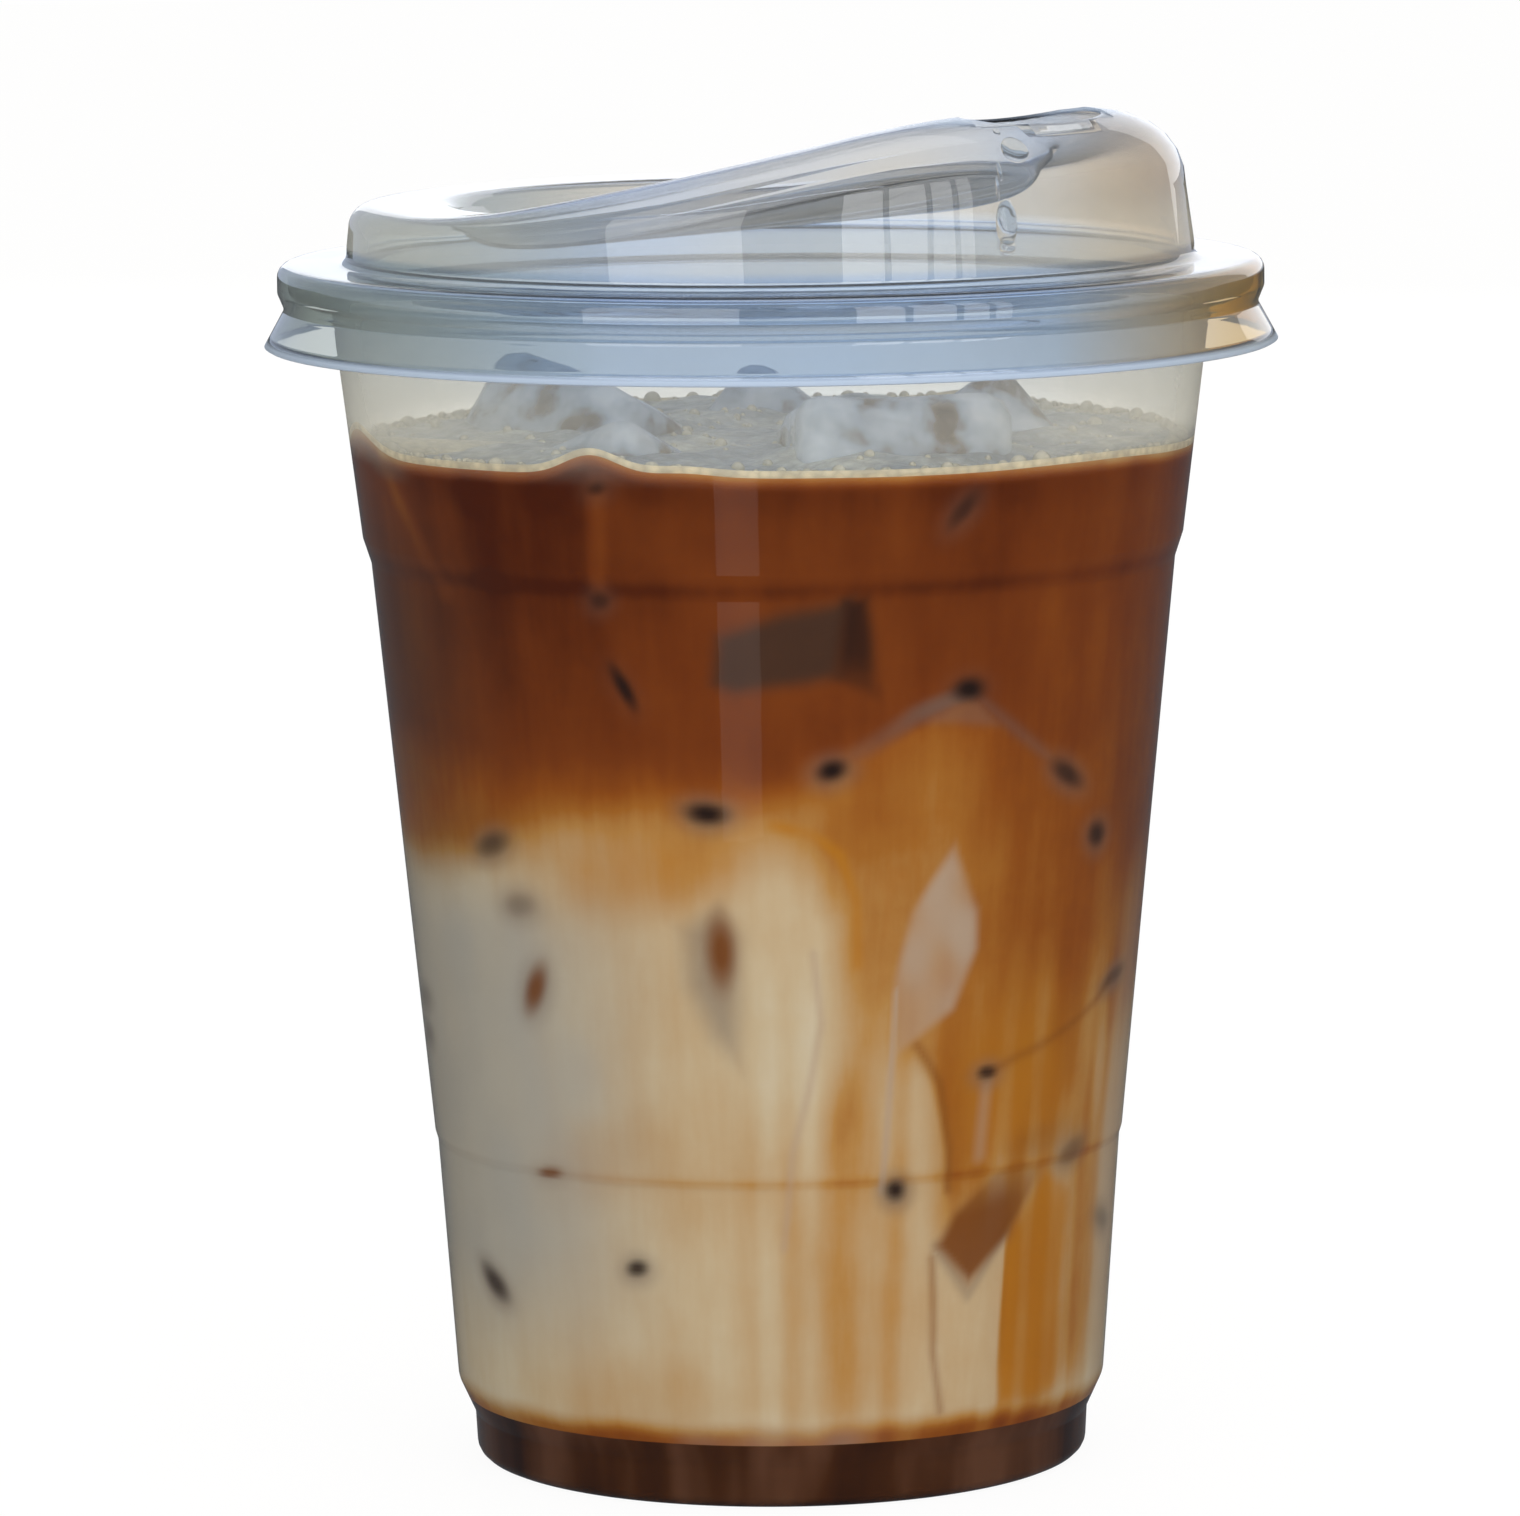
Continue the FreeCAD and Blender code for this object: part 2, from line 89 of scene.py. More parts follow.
# Camera: distance and height from the cup's foot, tilt down, roll and lens.
CAMERA_BACK, CAMERA_SIDE, CAMERA_UP = 968.0, -0.35, 200.0
CAMERA_DOWN, CAMERA_ROLL, CAMERA_LENS = 7.5, 0.55, 223.4


# ---------------------------------------------------------------- mesh tools

def rounded(corners, steps=5):
    """An outline whose corners are arcs: each arc touches both sides of its corner."""
    places = np.array([corner[:2] for corner in corners], float)
    line = [places[0][None]]
    for before, here, after, (_, _, rounding) in zip(
            places[:-2], places[1:-1], places[2:], corners[1:-1]):
        to_before = (before - here) / np.linalg.norm(before - here)
        to_after = (after - here) / np.linalg.norm(after - here)
        half = 0.5 * math.acos(np.clip(to_before @ to_after, -1.0, 1.0))
        if rounding == 0.0 or half > NEARLY_STRAIGHT:
            line.append(here[None])
            continue
        middle = to_before + to_after
        centre = here + middle / np.linalg.norm(middle) * rounding / math.sin(half)
        first = here + to_before * rounding / math.tan(half) - centre
        last = here + to_after * rounding / math.tan(half) - centre
        share = np.linspace(0.0, 1.0, steps + 1)[:, None]
        chord = first * (1.0 - share) + last * share
        arc = chord / np.linalg.norm(chord, axis=1)[:, None] * rounding
        line.append(centre + arc)
    line.append(places[-1][None])
    return np.vstack(line)


def refined(line, longest):
    """The same outline with each long side cut into equal shorter ones."""
    pieces = []
    for start, end in zip(line[:-1], line[1:]):
        count = max(1, int(math.ceil(np.linalg.norm(end - start) / longest)))
        share = np.arange(count)[:, None] / count
        pieces.append(start + (end - start) * share)
    return np.vstack(pieces + [line[-1:]])


def round_turn(columns):
    """Equal angles once round the upright axis, from +X towards +Y."""
    return np.linspace(0.0, 2.0 * math.pi, columns, endpoint=False)


def bearing_of(angle):
    """The bearing, between -180 and 180 degrees, of an angle from +X."""
    return (np.degrees(angle) + 270.0) % 360.0 - 180.0


def turned(line, columns):
    """A surface of revolution: each outline point goes round the upright axis."""
    angle = round_turn(columns)
    radius, height = line[:, 0, None], line[:, 1, None]
    return np.stack([radius * np.cos(angle), radius * np.sin(angle),
                     height + 0.0 * angle], axis=-1)


def build(name, grid, material, nodes=(), flip=False, poles=(False, False), marks=None):
    """Make a piece from a grid of points: rows along an outline, columns round it.

    A pole closes the first or last row to one point. Marks are named values of
    the grid's points, kept as attributes for the material.
    """
    rows, columns = grid.shape[:2]
    index = np.arange(rows * columns).reshape(rows, columns)
    beside = np.roll(index, -1, axis=1)
    quads = np.stack([index[:-1], beside[:-1], beside[1:], index[1:]], axis=-1)
    faces = quads[int(poles[0]):rows - 1 - int(poles[1])].reshape(-1, 4)
    if flip:
        faces = faces[:, ::-1]
    points = grid.reshape(-1, 3)
    fans = []
    for closed, row, other in ((poles[0], 0, 1), (poles[1], rows - 1, rows - 2)):
        if not closed:
            continue
        hub = np.full(columns, index[row, 0])
        fan = np.stack([hub, beside[other], index[other]], axis=-1)
        fans.append(fan if (row > 0) != flip else fan[:, ::-1])
    used = np.unique(np.concatenate([faces.ravel()] + [fan.ravel() for fan in fans]))
    renumber = np.full(len(points), -1)
    renumber[used] = np.arange(len(used))
    shapes = renumber[faces].tolist()
    for fan in fans:
        shapes += renumber[fan].tolist()
    values = {key: mark.reshape(-1)[used] for key, mark in (marks or {}).items()}
    return piece(name, points[used], shapes, material, nodes, values)


def piece(name, points, shapes, material, nodes=(), marks=None):
    """Put points (mm) and faces into a smooth object that rides on the cup."""
    mesh = bpy.data.meshes.new(name)
    mesh.from_pydata((np.asarray(points) * MM).tolist(), [], shapes)
    mesh.polygons.foreach_set("use_smooth", np.ones(len(mesh.polygons), bool))
    for key, values in (marks or {}).items():
        layer = mesh.attributes.new(key, "FLOAT", "POINT")
        layer.data.foreach_set("value", np.asarray(values, np.float32))
    mesh.materials.append(material)
    mesh.update()
    mesh.set_sharp_from_angle(angle=math.radians(CREASE))
    item = bpy.data.objects.new(name, mesh)
    bpy.context.scene.collection.objects.link(item)
    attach(item, "root")
    if nodes:
        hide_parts(*nodes)
    return item


def dome_faces(rows, columns, count):
    """Quads of several like domes, each a grid of rows that go round its own axis."""
    index = np.arange(rows * columns).reshape(rows, columns)
    beside = np.roll(index, -1, axis=1)
    one = np.stack([index[:-1], index[1:], beside[1:], beside[:-1]], axis=-1).reshape(-1, 4)
    return (one[None] + np.arange(count)[:, None, None] * rows * columns).reshape(-1, 4)


def smooth_step(low, high, value):
    """0 below low, 1 above high, and a soft S between them."""
    share = np.clip((value - low) / (high - low), 0.0, 1.0)
    return share * share * (3.0 - 2.0 * share)


# ---------------------------------------------------------------- material tools

def colour(code):
    """A linear colour from an sRGB hex code."""
    parts = [int(code[i:i + 2], 16) / 255.0 for i in (1, 3, 5)]
    linear = [p / 12.92 if p <= 0.04045 else ((p + 0.055) / 1.055) ** 2.4 for p in parts]
    return (*linear, 1.0)


def node(tree, kind, settings=None, **links):
    """Add a node, set its properties and sockets, and link its inputs.

    Digits name an input by its number. Stops are the places and colours of a ramp.
    A link comes from a socket, or from the first output of a node.
    """
    item = tree.nodes.new(kind)
    for key, setting in (settings or {}).items():
        if key == "stops":
            ramp = item.color_ramp.elements
            ramp[0].position, ramp[-1].position = setting[0][0], setting[-1][0]
            ramp[0].color, ramp[-1].color = colour(setting[0][1]), colour(setting[-1][1])
            for position, code in setting[1:-1]:
                ramp.new(position).color = colour(code)
        elif key.isdigit():
            item.inputs[int(key)].default_value = setting
        elif key in item.inputs:
            item.inputs[key].default_value = setting
        else:
            setattr(item, key, setting)
    for key, source in links.items():
        name = key.replace("_", " ")
        socket = item.inputs[int(key[1:])] if key[1:].isdigit() else item.inputs[name]
        tree.links.new(getattr(source, "outputs", [source])[0], socket)
    return item


def fresh_material(name):
    """An empty node material, its tree, and the places on the object for its textures."""
    material = bpy.data.materials.new(name)
    material.use_nodes = True
    tree = material.node_tree
    tree.nodes.clear()
    return material, tree, node(tree, "ShaderNodeTexCoord").outputs["Object"]


def finished(material, tree, shader):
    """The material with its shader on the surface."""
    node(tree, "ShaderNodeOutputMaterial", Surface=shader)
    return material


def lamps_pass(tree, glass, tint):
    """Clear stuff that shadow rays go through, so that lamps light what is inside."""
    ray = node(tree, "ShaderNodeLightPath").outputs
    open_way = node(tree, "ShaderNodeBsdfTransparent", {"Color": colour(tint)})
    return node(tree, "ShaderNodeMixShader", i0=ray["Is Shadow Ray"], i1=glass, i2=open_way)


def clear_pet(name, tint, warm, index, haze, mist, sides, cuts):
    """Thermoformed PET sheet: clear and glossy, faintly wavy from the mould.

    haze is its share of milky scatter. mist is fine condensation on the inside: the
    heights where it starts and is full, its share, and the heights of its lower end;
    it is thickest at the left and right, where the eye looks along the wall. sides are
    painted reflections of what stands near, mixed into the sheet's colour: colour, axis,
    start and end. cuts are heights between which the sheet's cut edge turns frosted, as
    a punched edge does, and a share.
    """
    material, tree, place = fresh_material(name)
    across, _, up = node(tree, "ShaderNodeSeparateXYZ", Vector=place).outputs
    waves = node(tree, "ShaderNodeTexNoise", {"Scale": 70.0, "Detail": 2.0}, Vector=place)
    bump = node(tree, "ShaderNodeBump", {"Strength": 0.08, "Distance": 0.6 * MM}, Height=waves)
    areas = node(tree, "ShaderNodeTexNoise", {"Scale": 26.0, "Detail": 1.0}, Vector=place)
    spread = node(tree, "ShaderNodeMapRange", {"From Min": 0.42, "From Max": 0.62}, Value=areas)
    shade = node(tree, "ShaderNodeMix", {"data_type": "RGBA", "6": colour(tint), "7": colour(warm)},
                 Factor=spread).outputs[2]
    # Painted reflections of what stands near, mixed into the sheet's colour.
    for code, axis, start, end in sides:
        near = node(tree, "ShaderNodeMapRange", {"From Min": start * MM, "From Max": end * MM},
                    Value=across if axis == "X" else up)
        shade = node(tree, "ShaderNodeMix", {"data_type": "RGBA", "7": colour(code)},
                     Factor=near, i6=shade).outputs[2]
    sheet = node(tree, "ShaderNodeBsdfPrincipled",
                 {"Roughness": 0.02, "IOR": index, "Transmission Weight": 1.0 - haze},
                 Base_Color=shade, Normal=bump)

    start, full, most, low_end, low_full = mist
    fine = node(tree, "ShaderNodeTexNoise", {"Scale": 380.0, "Detail": 4.0}, Vector=place)
    grain = node(tree, "ShaderNodeMapRange", {"From Min": 0.3, "From Max": 0.7, "To Min": 0.85},
                 Value=fine)
    rise = node(tree, "ShaderNodeMapRange",
                {"interpolation_type": "SMOOTHSTEP", "From Min": start * MM,
                 "From Max": full * MM, "To Max": most}, Value=up)
    floor = node(tree, "ShaderNodeMapRange",
                 {"interpolation_type": "SMOOTHSTEP", "From Min": low_end * MM,
                  "From Max": low_full * MM}, Value=up)
    aside = node(tree, "ShaderNodeMath", {"operation": "ABSOLUTE"}, i0=across)
    flank = node(tree, "ShaderNodeMapRange",
                 {"From Min": 18.0 * MM, "From Max": 42.0 * MM, "To Min": 0.35}, Value=aside)
    share = rise
    for other in (floor, flank, grain):
        share = node(tree, "ShaderNodeMath", {"operation": "MULTIPLY"}, i0=share, i1=other)
    drops = node(tree, "ShaderNodeBsdfPrincipled",
                 {"Base Color": colour("#cdcbc0"), "Roughness": 0.5, "Specular IOR Level": 0.0})
    sheet = node(tree, "ShaderNodeMixShader", i0=share, i1=sheet, i2=drops)

    for start, end, most in cuts:
        near = node(tree, "ShaderNodeMapRange",
                    {"From Min": start * MM, "From Max": end * MM, "To Max": most}, Value=up)
        frost = node(tree, "ShaderNodeBsdfPrincipled",
                     {"Base Color": colour("#a9b8cb"), "Roughness": 0.4})
        sheet = node(tree, "ShaderNodeMixShader", i0=near, i1=sheet, i2=frost)
    return finished(material, tree, lamps_pass(tree, sheet, tint))


def caramel(name):
    """Thick caramel syrup: dark and even, with lighter runs where milk mixes in."""
    material, tree, place = fresh_material(name)
    tall = node(tree, "ShaderNodeMapping", {"Scale": (1.0, 1.0, 0.15)}, Vector=place)
    bands = node(tree, "ShaderNodeTexNoise", {"Scale": 110.0, "Detail": 3.0}, Vector=tall)
    ramp = node(tree, "ShaderNodeValToRGB",
                {"stops": [(0.36, "#2b1409"), (0.50, "#41230f"), (0.66, "#5c3c2a")]}, Fac=bands)
    body = node(tree, "ShaderNodeBsdfPrincipled", {"Roughness": 0.5, "Specular IOR Level": 0.0},
                Base_Color=ramp)
    return finished(material, tree, body)


# ---------------------------------------------------------------- cup and lid

def cup_wall(material):
    """The clear cup: its outside, rolled rim and inside as one turned surface."""
    line = rounded(CUP_OUTSIDE + CUP_RIM + CUP_INSIDE[::-1])
    return build("cup_wall", turned(refined(line, 4.0), 288), material,
                 ["cup"], poles=(True, True))


def ridge_height(place):
    """Height of the lid's ridge by distance towards the sip side.

    Level at first, then a hollow arc that lifts it, then a crest arc that ends level.
    """
    lean = math.asin((RIDGE_CREST_PLACE - RIDGE_START) / (RIDGE_HOLLOW + RIDGE_CREST))
    meet = RIDGE_START + RIDGE_HOLLOW * math.sin(lean)
    top = RIDGE_LOW + (RIDGE_HOLLOW + RIDGE_CREST) * (1.0 - math.cos(lean))
    along = np.clip(place - RIDGE_START, 0.0, meet - RIDGE_START)
    hollow = RIDGE_LOW + RIDGE_HOLLOW - np.sqrt(RIDGE_HOLLOW ** 2 - along ** 2)
    back = np.clip(RIDGE_CREST_PLACE - place, 0.0, RIDGE_CREST_PLACE - meet)
    crest = top - RIDGE_CREST + np.sqrt(RIDGE_CREST ** 2 - back ** 2)
    return np.where(place < meet, hollow, crest)


def mound_radius(height):
    """The mound's wall draws in evenly from its foot to its full height."""
    share = (height - MOUND_FOOT_HEIGHT) / (MOUND_FULL_HEIGHT - MOUND_FOOT_HEIGHT)
    return MOUND_FOOT + (MOUND_TOP - MOUND_FOOT) * share


def lid_grid(columns=360):
    """Outer skin of the lid, from the middle of its sunken floor out and down to the skirt.

    Each row is a distance from a centre, a height and a shift of that centre. The
    floor and the land follow the ridge, the corners are arcs, and the crown's arc
    grows towards the sip side.
    """
    angle = round_turn(columns)
    ahead, aside = np.cos(angle)[None], np.sin(angle)[None]
    quarter = np.linspace(0.0, math.pi / 2, 8)[:, None]
    rows = []

    def add(reach, shift, height):
        full = np.broadcast_to(reach, (reach.shape[0], columns))
        x = shift + full * ahead
        rows.append(np.stack([x, full * aside, height(x)], axis=-1))

    def floor(x):
        return ridge_height(x) - RECESS_DEPTH

    flat = RECESS_FLOOR - RECESS_ROUND
    add(np.linspace(0.0, flat, 30)[:, None], RECESS_SHIFT, floor)
    add(flat + RECESS_ROUND * np.sin(quarter[1:]), RECESS_SHIFT,
        lambda x: floor(x) + RECESS_ROUND * (1.0 - np.cos(quarter[1:])))
    add(RECESS_RIM + RECESS_ROUND * (1.0 - np.cos(quarter)), RECESS_SHIFT,
        lambda x: ridge_height(x) - RECESS_ROUND * (1.0 - np.sin(quarter)))
    wall_ahead = MOUND_TOP * ahead
    crown = CROWN_LOW_ROUND + (CROWN_HIGH_ROUND - CROWN_LOW_ROUND) * smooth_step(
        4.0, 38.0, wall_ahead)
    inner = RECESS_RIM + RECESS_ROUND
    outer = mound_radius(ridge_height(wall_ahead)) - crown
    share = np.linspace(0.0, 1.0, 12)[1:, None]
    add(inner + (outer - inner) * share, RECESS_SHIFT * (1.0 - share), ridge_height)
    add(outer + crown * np.sin(quarter[1:]), 0.0,
        lambda x: ridge_height(x) - crown * (1.0 - np.cos(quarter[1:])))
    edge = rows[-1][-1:, :, 2]
    drop = np.linspace(0.0, 1.0, 14)[1:, None]
    heights = edge + (MOUND_FOOT_HEIGHT - edge) * drop
    start = outer + crown
    add(start + (MOUND_FOOT - start) * drop, 0.0, lambda x: heights)
    ring = rounded([(MOUND_FOOT, MOUND_FOOT_HEIGHT, 0.0)] + LID_RING)
    ring = refined(ring, 1.5)[1:]
    add(ring[:, :1] + 0.0 * ahead, 0.0, lambda x: ring[:, 1:] + 0.0 * x)
    grid = np.vstack(rows)
    turn = np.array([[math.cos(SPOUT_TURN), math.sin(SPOUT_TURN)],
                     [-math.sin(SPOUT_TURN), math.cos(SPOUT_TURN)]])
    grid[..., :2] = grid[..., :2] @ turn
    return grid


def oval_cutter(name, place, half_length, half_width, columns=48):
    """An upright oval bar across the ridge, for cutting an opening."""
    angle = round_turn(columns)
    x = place + half_width * np.cos(angle)
    y = half_length * np.sin(angle)
    c, s = math.cos(SPOUT_TURN), math.sin(SPOUT_TURN)
    ring = np.stack([c * x - s * y, s * x + c * y], axis=-1)
    low, high = np.full((columns, 1), CUTTER_LOW), np.full((columns, 1), CUTTER_HIGH)
    points = np.vstack([np.hstack([ring, low]), np.hstack([ring, high])]) * MM
    around = np.arange(columns)
    beside = np.roll(around, -1)
    sides = np.stack([around, beside, beside + columns, around + columns], axis=-1).tolist()
    caps = [around[::-1].tolist(), (around + columns).tolist()]
    mesh = bpy.data.meshes.new(name)
    mesh.from_pydata(points.tolist(), [], sides + caps)
    cutter = bpy.data.objects.new(name, mesh)
    bpy.context.scene.collection.objects.link(cutter)
    return cutter


def settle(item):
    """Replace a piece's mesh by the one its modifiers give."""
    shape = bpy.data.meshes.new_from_object(
        item.evaluated_get(bpy.context.evaluated_depsgraph_get()))
    item.modifiers.clear()
    item.data = shape
    shape.polygons.foreach_set("use_smooth", np.ones(len(shape.polygons), bool))


def lid_shell(material):
    """The clear lid: one formed sheet with a sip opening and a vent hole cut in it."""
    item = build("lid_shell", lid_grid(), material, ["lid"],
                 flip=True, poles=(True, False))
    sheet = item.modifiers.new("sheet", "SOLIDIFY")
    sheet.thickness = LID_SHEET * MM
    sheet.offset = -1.0
    sheet.use_even_offset = True
    cutters = [oval_cutter("sip", SIP_PLACE, SIP_HALF_LENGTH, SIP_HALF_WIDTH),
               oval_cutter("vent", VENT_PLACE, VENT_RADIUS, VENT_RADIUS)]
    for cutter in cutters:
        cut = item.modifiers.new(cutter.name, "BOOLEAN")
        cut.operation = "DIFFERENCE"
        cut.object = cutter
        cut.solver = "EXACT"
    settle(item)
    for cutter in cutters:
        bpy.data.objects.remove(cutter, do_unlink=True)
    return item


# ---------------------------------------------------------------- drink

INSIDE_LINE = rounded(CUP_INSIDE)
RING_END = 31.0        # radius past which the inside is its side wall
DEGREE = 0.66          # millimetres along the wall for a degree of bearing
FAR = 99.0             # a distance greater than any on the wall


def liquid_radius(height):
    """Radius of the liquid at a height: the cup's inside and a little of its wall."""
    side = INSIDE_LINE[np.argmax(INSIDE_LINE[:, 0] > RING_END):]
    return np.interp(height, side[:, 1], side[:, 0]) + PET_LAP


def drift(bearing, height, seed, turns, lift, count=7):
    """Slow seamless clouds between -1 and 1: waves with whole turns round the cup."""
    dice = np.random.default_rng(seed)
    total = np.zeros(np.broadcast(bearing, height).shape)
    for _ in range(count):
        around = dice.integers(-turns, turns + 1)
        upward = dice.normal() * lift
        total = total + np.sin(np.radians(bearing) * around + height * upward
                               + dice.uniform(0.0, 2.0 * math.pi))
    return np.tanh(total / math.sqrt(count))


def around_cup(bearing, place):
    """Distance along the wall from a bearing, in mm, going the short way round."""
    return ((bearing - place + 180.0) % 360.0 - 180.0) * DEGREE


def spot(bearing, height, place, level, wide, tall, lean=0.0, soft=0.6):
    """A soft-edged ellipse on the wall; lean turns it anticlockwise, in degrees."""
    x = around_cup(bearing, place)
    y = height - level
    c, s = math.cos(math.radians(lean)), math.sin(math.radians(lean))
    reach = np.hypot((x * c + y * s) / wide, (y * c - x * s) / tall)
    return 1.0 - smooth_step(1.0 - soft, 1.0 + soft, reach)


def facet(bearing, height, corners, soft):
    """A soft-edged face with straight sides, its corners listed anticlockwise."""
    out = np.full(np.broadcast(bearing, height).shape, -FAR)
    for (b0, z0), (b1, z1) in zip(corners, corners[1:] + corners[:1]):
        run, rise = (b1 - b0) * DEGREE, z1 - z0
        x, y = around_cup(bearing, b0), height - z0
        out = np.maximum(out, (x * rise - y * run) / math.hypot(run, rise))
    return 1.0 - smooth_step(-soft, soft, out)


def ribbon(bearing, height, path, wide, soft):
    """A soft line on the wall through a few places, as a chain of straight runs."""
    away = np.full(np.broadcast(bearing, height).shape, FAR)
    for (b0, z0), (b1, z1) in zip(path[:-1], path[1:]):
        run, rise = (b1 - b0) * DEGREE, z1 - z0
        x, y = around_cup(bearing, b0), height - z0
        share = np.clip((x * run + y * rise) / (run * run + rise * rise), 0.0, 1.0)
        away = np.minimum(away, np.hypot(x - share * run, y - share * rise))
    return 1.0 - smooth_step(wide - soft, wide + soft, away)


# Humps of foam along the wall: bearing, rise in mm and width in degrees.
HUMPS = [(-75.0, 2.6, 9.0), (-24.5, 2.1, 5.5), (-12.0, 0.5, 6.0), (148.0, 1.2, 9.0),
         (-140.0, 0.9, 7.0)]


def contact(bearing):
    """Height at which the coffee meets the wall, with the humps that foam pulls up."""
    level = COFFEE_TOP - 0.5 * smooth_step(50.0, 85.0, np.abs(bearing))
    for place, rise, wide in HUMPS:
        level = level + rise * np.exp(-(around_cup(bearing, place) / DEGREE / wide) ** 2)
    return level + 0.12 * drift(bearing, 0.0, 5, 14, 0.0)


# Patches of more or less coffee in the milk: bearing, height, half width and half
# height in mm, lean, strength of coffee, cover and softness.
SWIRLS = [
    (-72.0, 70.0, 16.0, 5.0, 0.0, 0.62, 0.75, 0.8),
    (-33.0, 35.0, 9.0, 4.0, 20.0, 0.30, 0.75, 0.8),
    (-15.0, 36.0, 8.0, 7.0, -10.0, 0.24, 0.7, 0.8),
    (-20.0, 50.0, 4.0, 12.0, 8.0, 0.20, 0.5, 0.8),
    (-28.0, 64.0, 9.0, 6.0, 0.0, 0.22, 0.8, 0.8),
    (-16.0, 67.5, 10.0, 4.5, 12.0, 0.34, 0.85, 0.8),
    (-20.0, 12.0, 14.0, 3.0, 3.0, 0.28, 0.6, 0.8),
    (12.0, 44.0, 3.6, 26.0, 0.0, 0.37, 0.95, 0.5),
    (13.0, 20.0, 5.0, 14.0, 0.0, 0.31, 0.85, 0.5),
    (0.5, 57.0, 6.6, 12.5, -4.0, 0.14, 0.95, 0.5),
    (4.5, 46.0, 3.4, 9.0, -12.0, 0.04, 0.8, 0.6),
    (0.0, 26.0, 6.0, 14.0, 0.0, 0.25, 0.8, 0.6),
    (-8.0, 21.0, 4.0, 9.0, 0.0, 0.14, 0.7, 0.7),
    (17.0, 70.0, 9.0, 8.0, 0.0, 0.46, 0.9, 0.5),
    (20.0, 60.0, 6.0, 14.0, 0.0, 0.42, 0.9, 0.6),
    (30.0, 47.0, 6.0, 18.0, 0.0, 0.47, 0.95, 0.4),
    (44.0, 47.0, 10.0, 16.0, -12.0, 0.49, 0.95, 0.5),
    (46.0, 63.0, 9.0, 9.0, 0.0, 0.62, 0.9, 0.6),
    (54.0, 53.0, 3.4, 13.0, 0.0, 0.59, 0.85, 0.6),
    (70.0, 60.0, 10.0, 8.0, 0.0, 0.60, 0.9, 0.6),
    (74.0, 71.0, 12.0, 9.0, 0.0, 0.68, 0.95, 0.6),
    (68.0, 45.0, 7.0, 10.0, 0.0, 0.44, 0.9, 0.6),
    (61.0, 36.0, 5.0, 6.0, 0.0, 0.44, 0.85, 0.6),
    (50.0, 20.0, 8.4, 13.0, 0.0, 0.46, 0.95, 0.35),
    (60.0, 22.0, 5.0, 12.0, 0.0, 0.41, 0.8, 0.6),
    (74.0, 26.0, 7.0, 14.0, 0.0, 0.12, 0.9, 0.4),
    (80.0, 44.0, 6.0, 8.0, 0.0, 0.10, 0.8, 0.6),
    (23.0, 38.0, 3.4, 8.5, 14.0, 0.28, 0.95, 0.25),
    (20.5, 22.0, 4.2, 13.0, 0.0, 0.30, 0.85, 0.4),
    (57.0, 78.0, 5.0, 12.0, 0.0, 0.70, 0.5, 0.7),
    (-5.0, 8.0, 20.0, 1.6, 0.0, 0.18, 0.5, 0.8),
    (75.0, 54.0, 9.0, 8.0, 0.0, 0.52, 0.9, 0.6),
    (65.0, 24.0, 4.0, 14.0, 0.0, 0.38, 0.8, 0.6),
    (64.0, 42.0, 1.6, 7.0, 0.0, 0.28, 0.6, 0.6),
]

# Tips of sunk ice against the wall: bearing, height, half width and half height in
# mm, lean, then shares of dark, of ember brown and of the grey halo round it.
TIPS = [
    (-24.3, 105.3, 0.9, 0.6, 20.0, 0.75, 0.0, 0.5),
    (-25.2, 93.8, 0.9, 0.9, 60.0, 0.6, 0.0, 0.6),
    (-22.1, 84.3, 0.7, 2.3, 28.0, 0.97, 0.0, 0.25),
    (-9.6, 72.3, 1.9, 1.0, -8.0, 1.0, 0.0, 0.8),
    (-47.4, 67.1, 2.1, 1.0, 20.0, 0.6, 0.0, 0.8),
    (-42.4, 61.2, 1.9, 1.0, 12.0, 0.25, 0.1, 0.5),
    (-40.5, 53.2, 1.0, 2.5, -28.0, 0.1, 0.9, 0.6),
    (-8.9, 57.6, 1.3, 3.5, 0.0, 0.1, 0.95, 0.2),
    (-41.2, 33.6, 1.7, 0.5, 6.0, 0.1, 0.85, 0.3),
    (-58.2, 21.4, 2.6, 1.1, -28.0, 0.8, 0.1, 0.75),
    (-24.2, 24.6, 1.2, 0.75, 18.0, 0.9, 0.0, 0.6),
    (-77.5, 49.3, 2.2, 0.9, 10.0, 0.1, 0.0, 0.6),
    (-78.0, 45.2, 1.8, 0.9, 0.0, 0.15, 0.0, 0.6),
    (26.2, 102.2, 0.8, 1.9, -40.0, 0.65, 0.0, 0.7),
    (8.4, 76.2, 1.3, 1.0, 30.0, 1.0, 0.0, 0.6),
    (28.6, 83.9, 1.7, 1.1, 12.0, 1.0, 0.0, 0.5),
    (48.6, 74.4, 2.5, 1.0, -32.0, 0.8, 0.0, 0.5),
    (56.8, 67.2, 1.5, 1.2, -20.0, 0.85, 0.0, 0.5),
    (67.5, 51.4, 2.6, 0.7, 6.0, 0.45, 0.1, 0.8),
    (35.5, 44.2, 1.1, 0.6, -6.0, 0.9, 0.0, 0.6),
    (19.4, 33.1, 1.0, 0.9, 0.0, 0.95, 0.0, 1.0),
    (56.6, 34.6, 2.2, 1.2, 10.0, 0.25, 0.2, 0.75),
    (72.5, 26.3, 2.6, 0.9, -16.0, 0.2, 0.0, 0.6),
]


FAR_SEED = 41


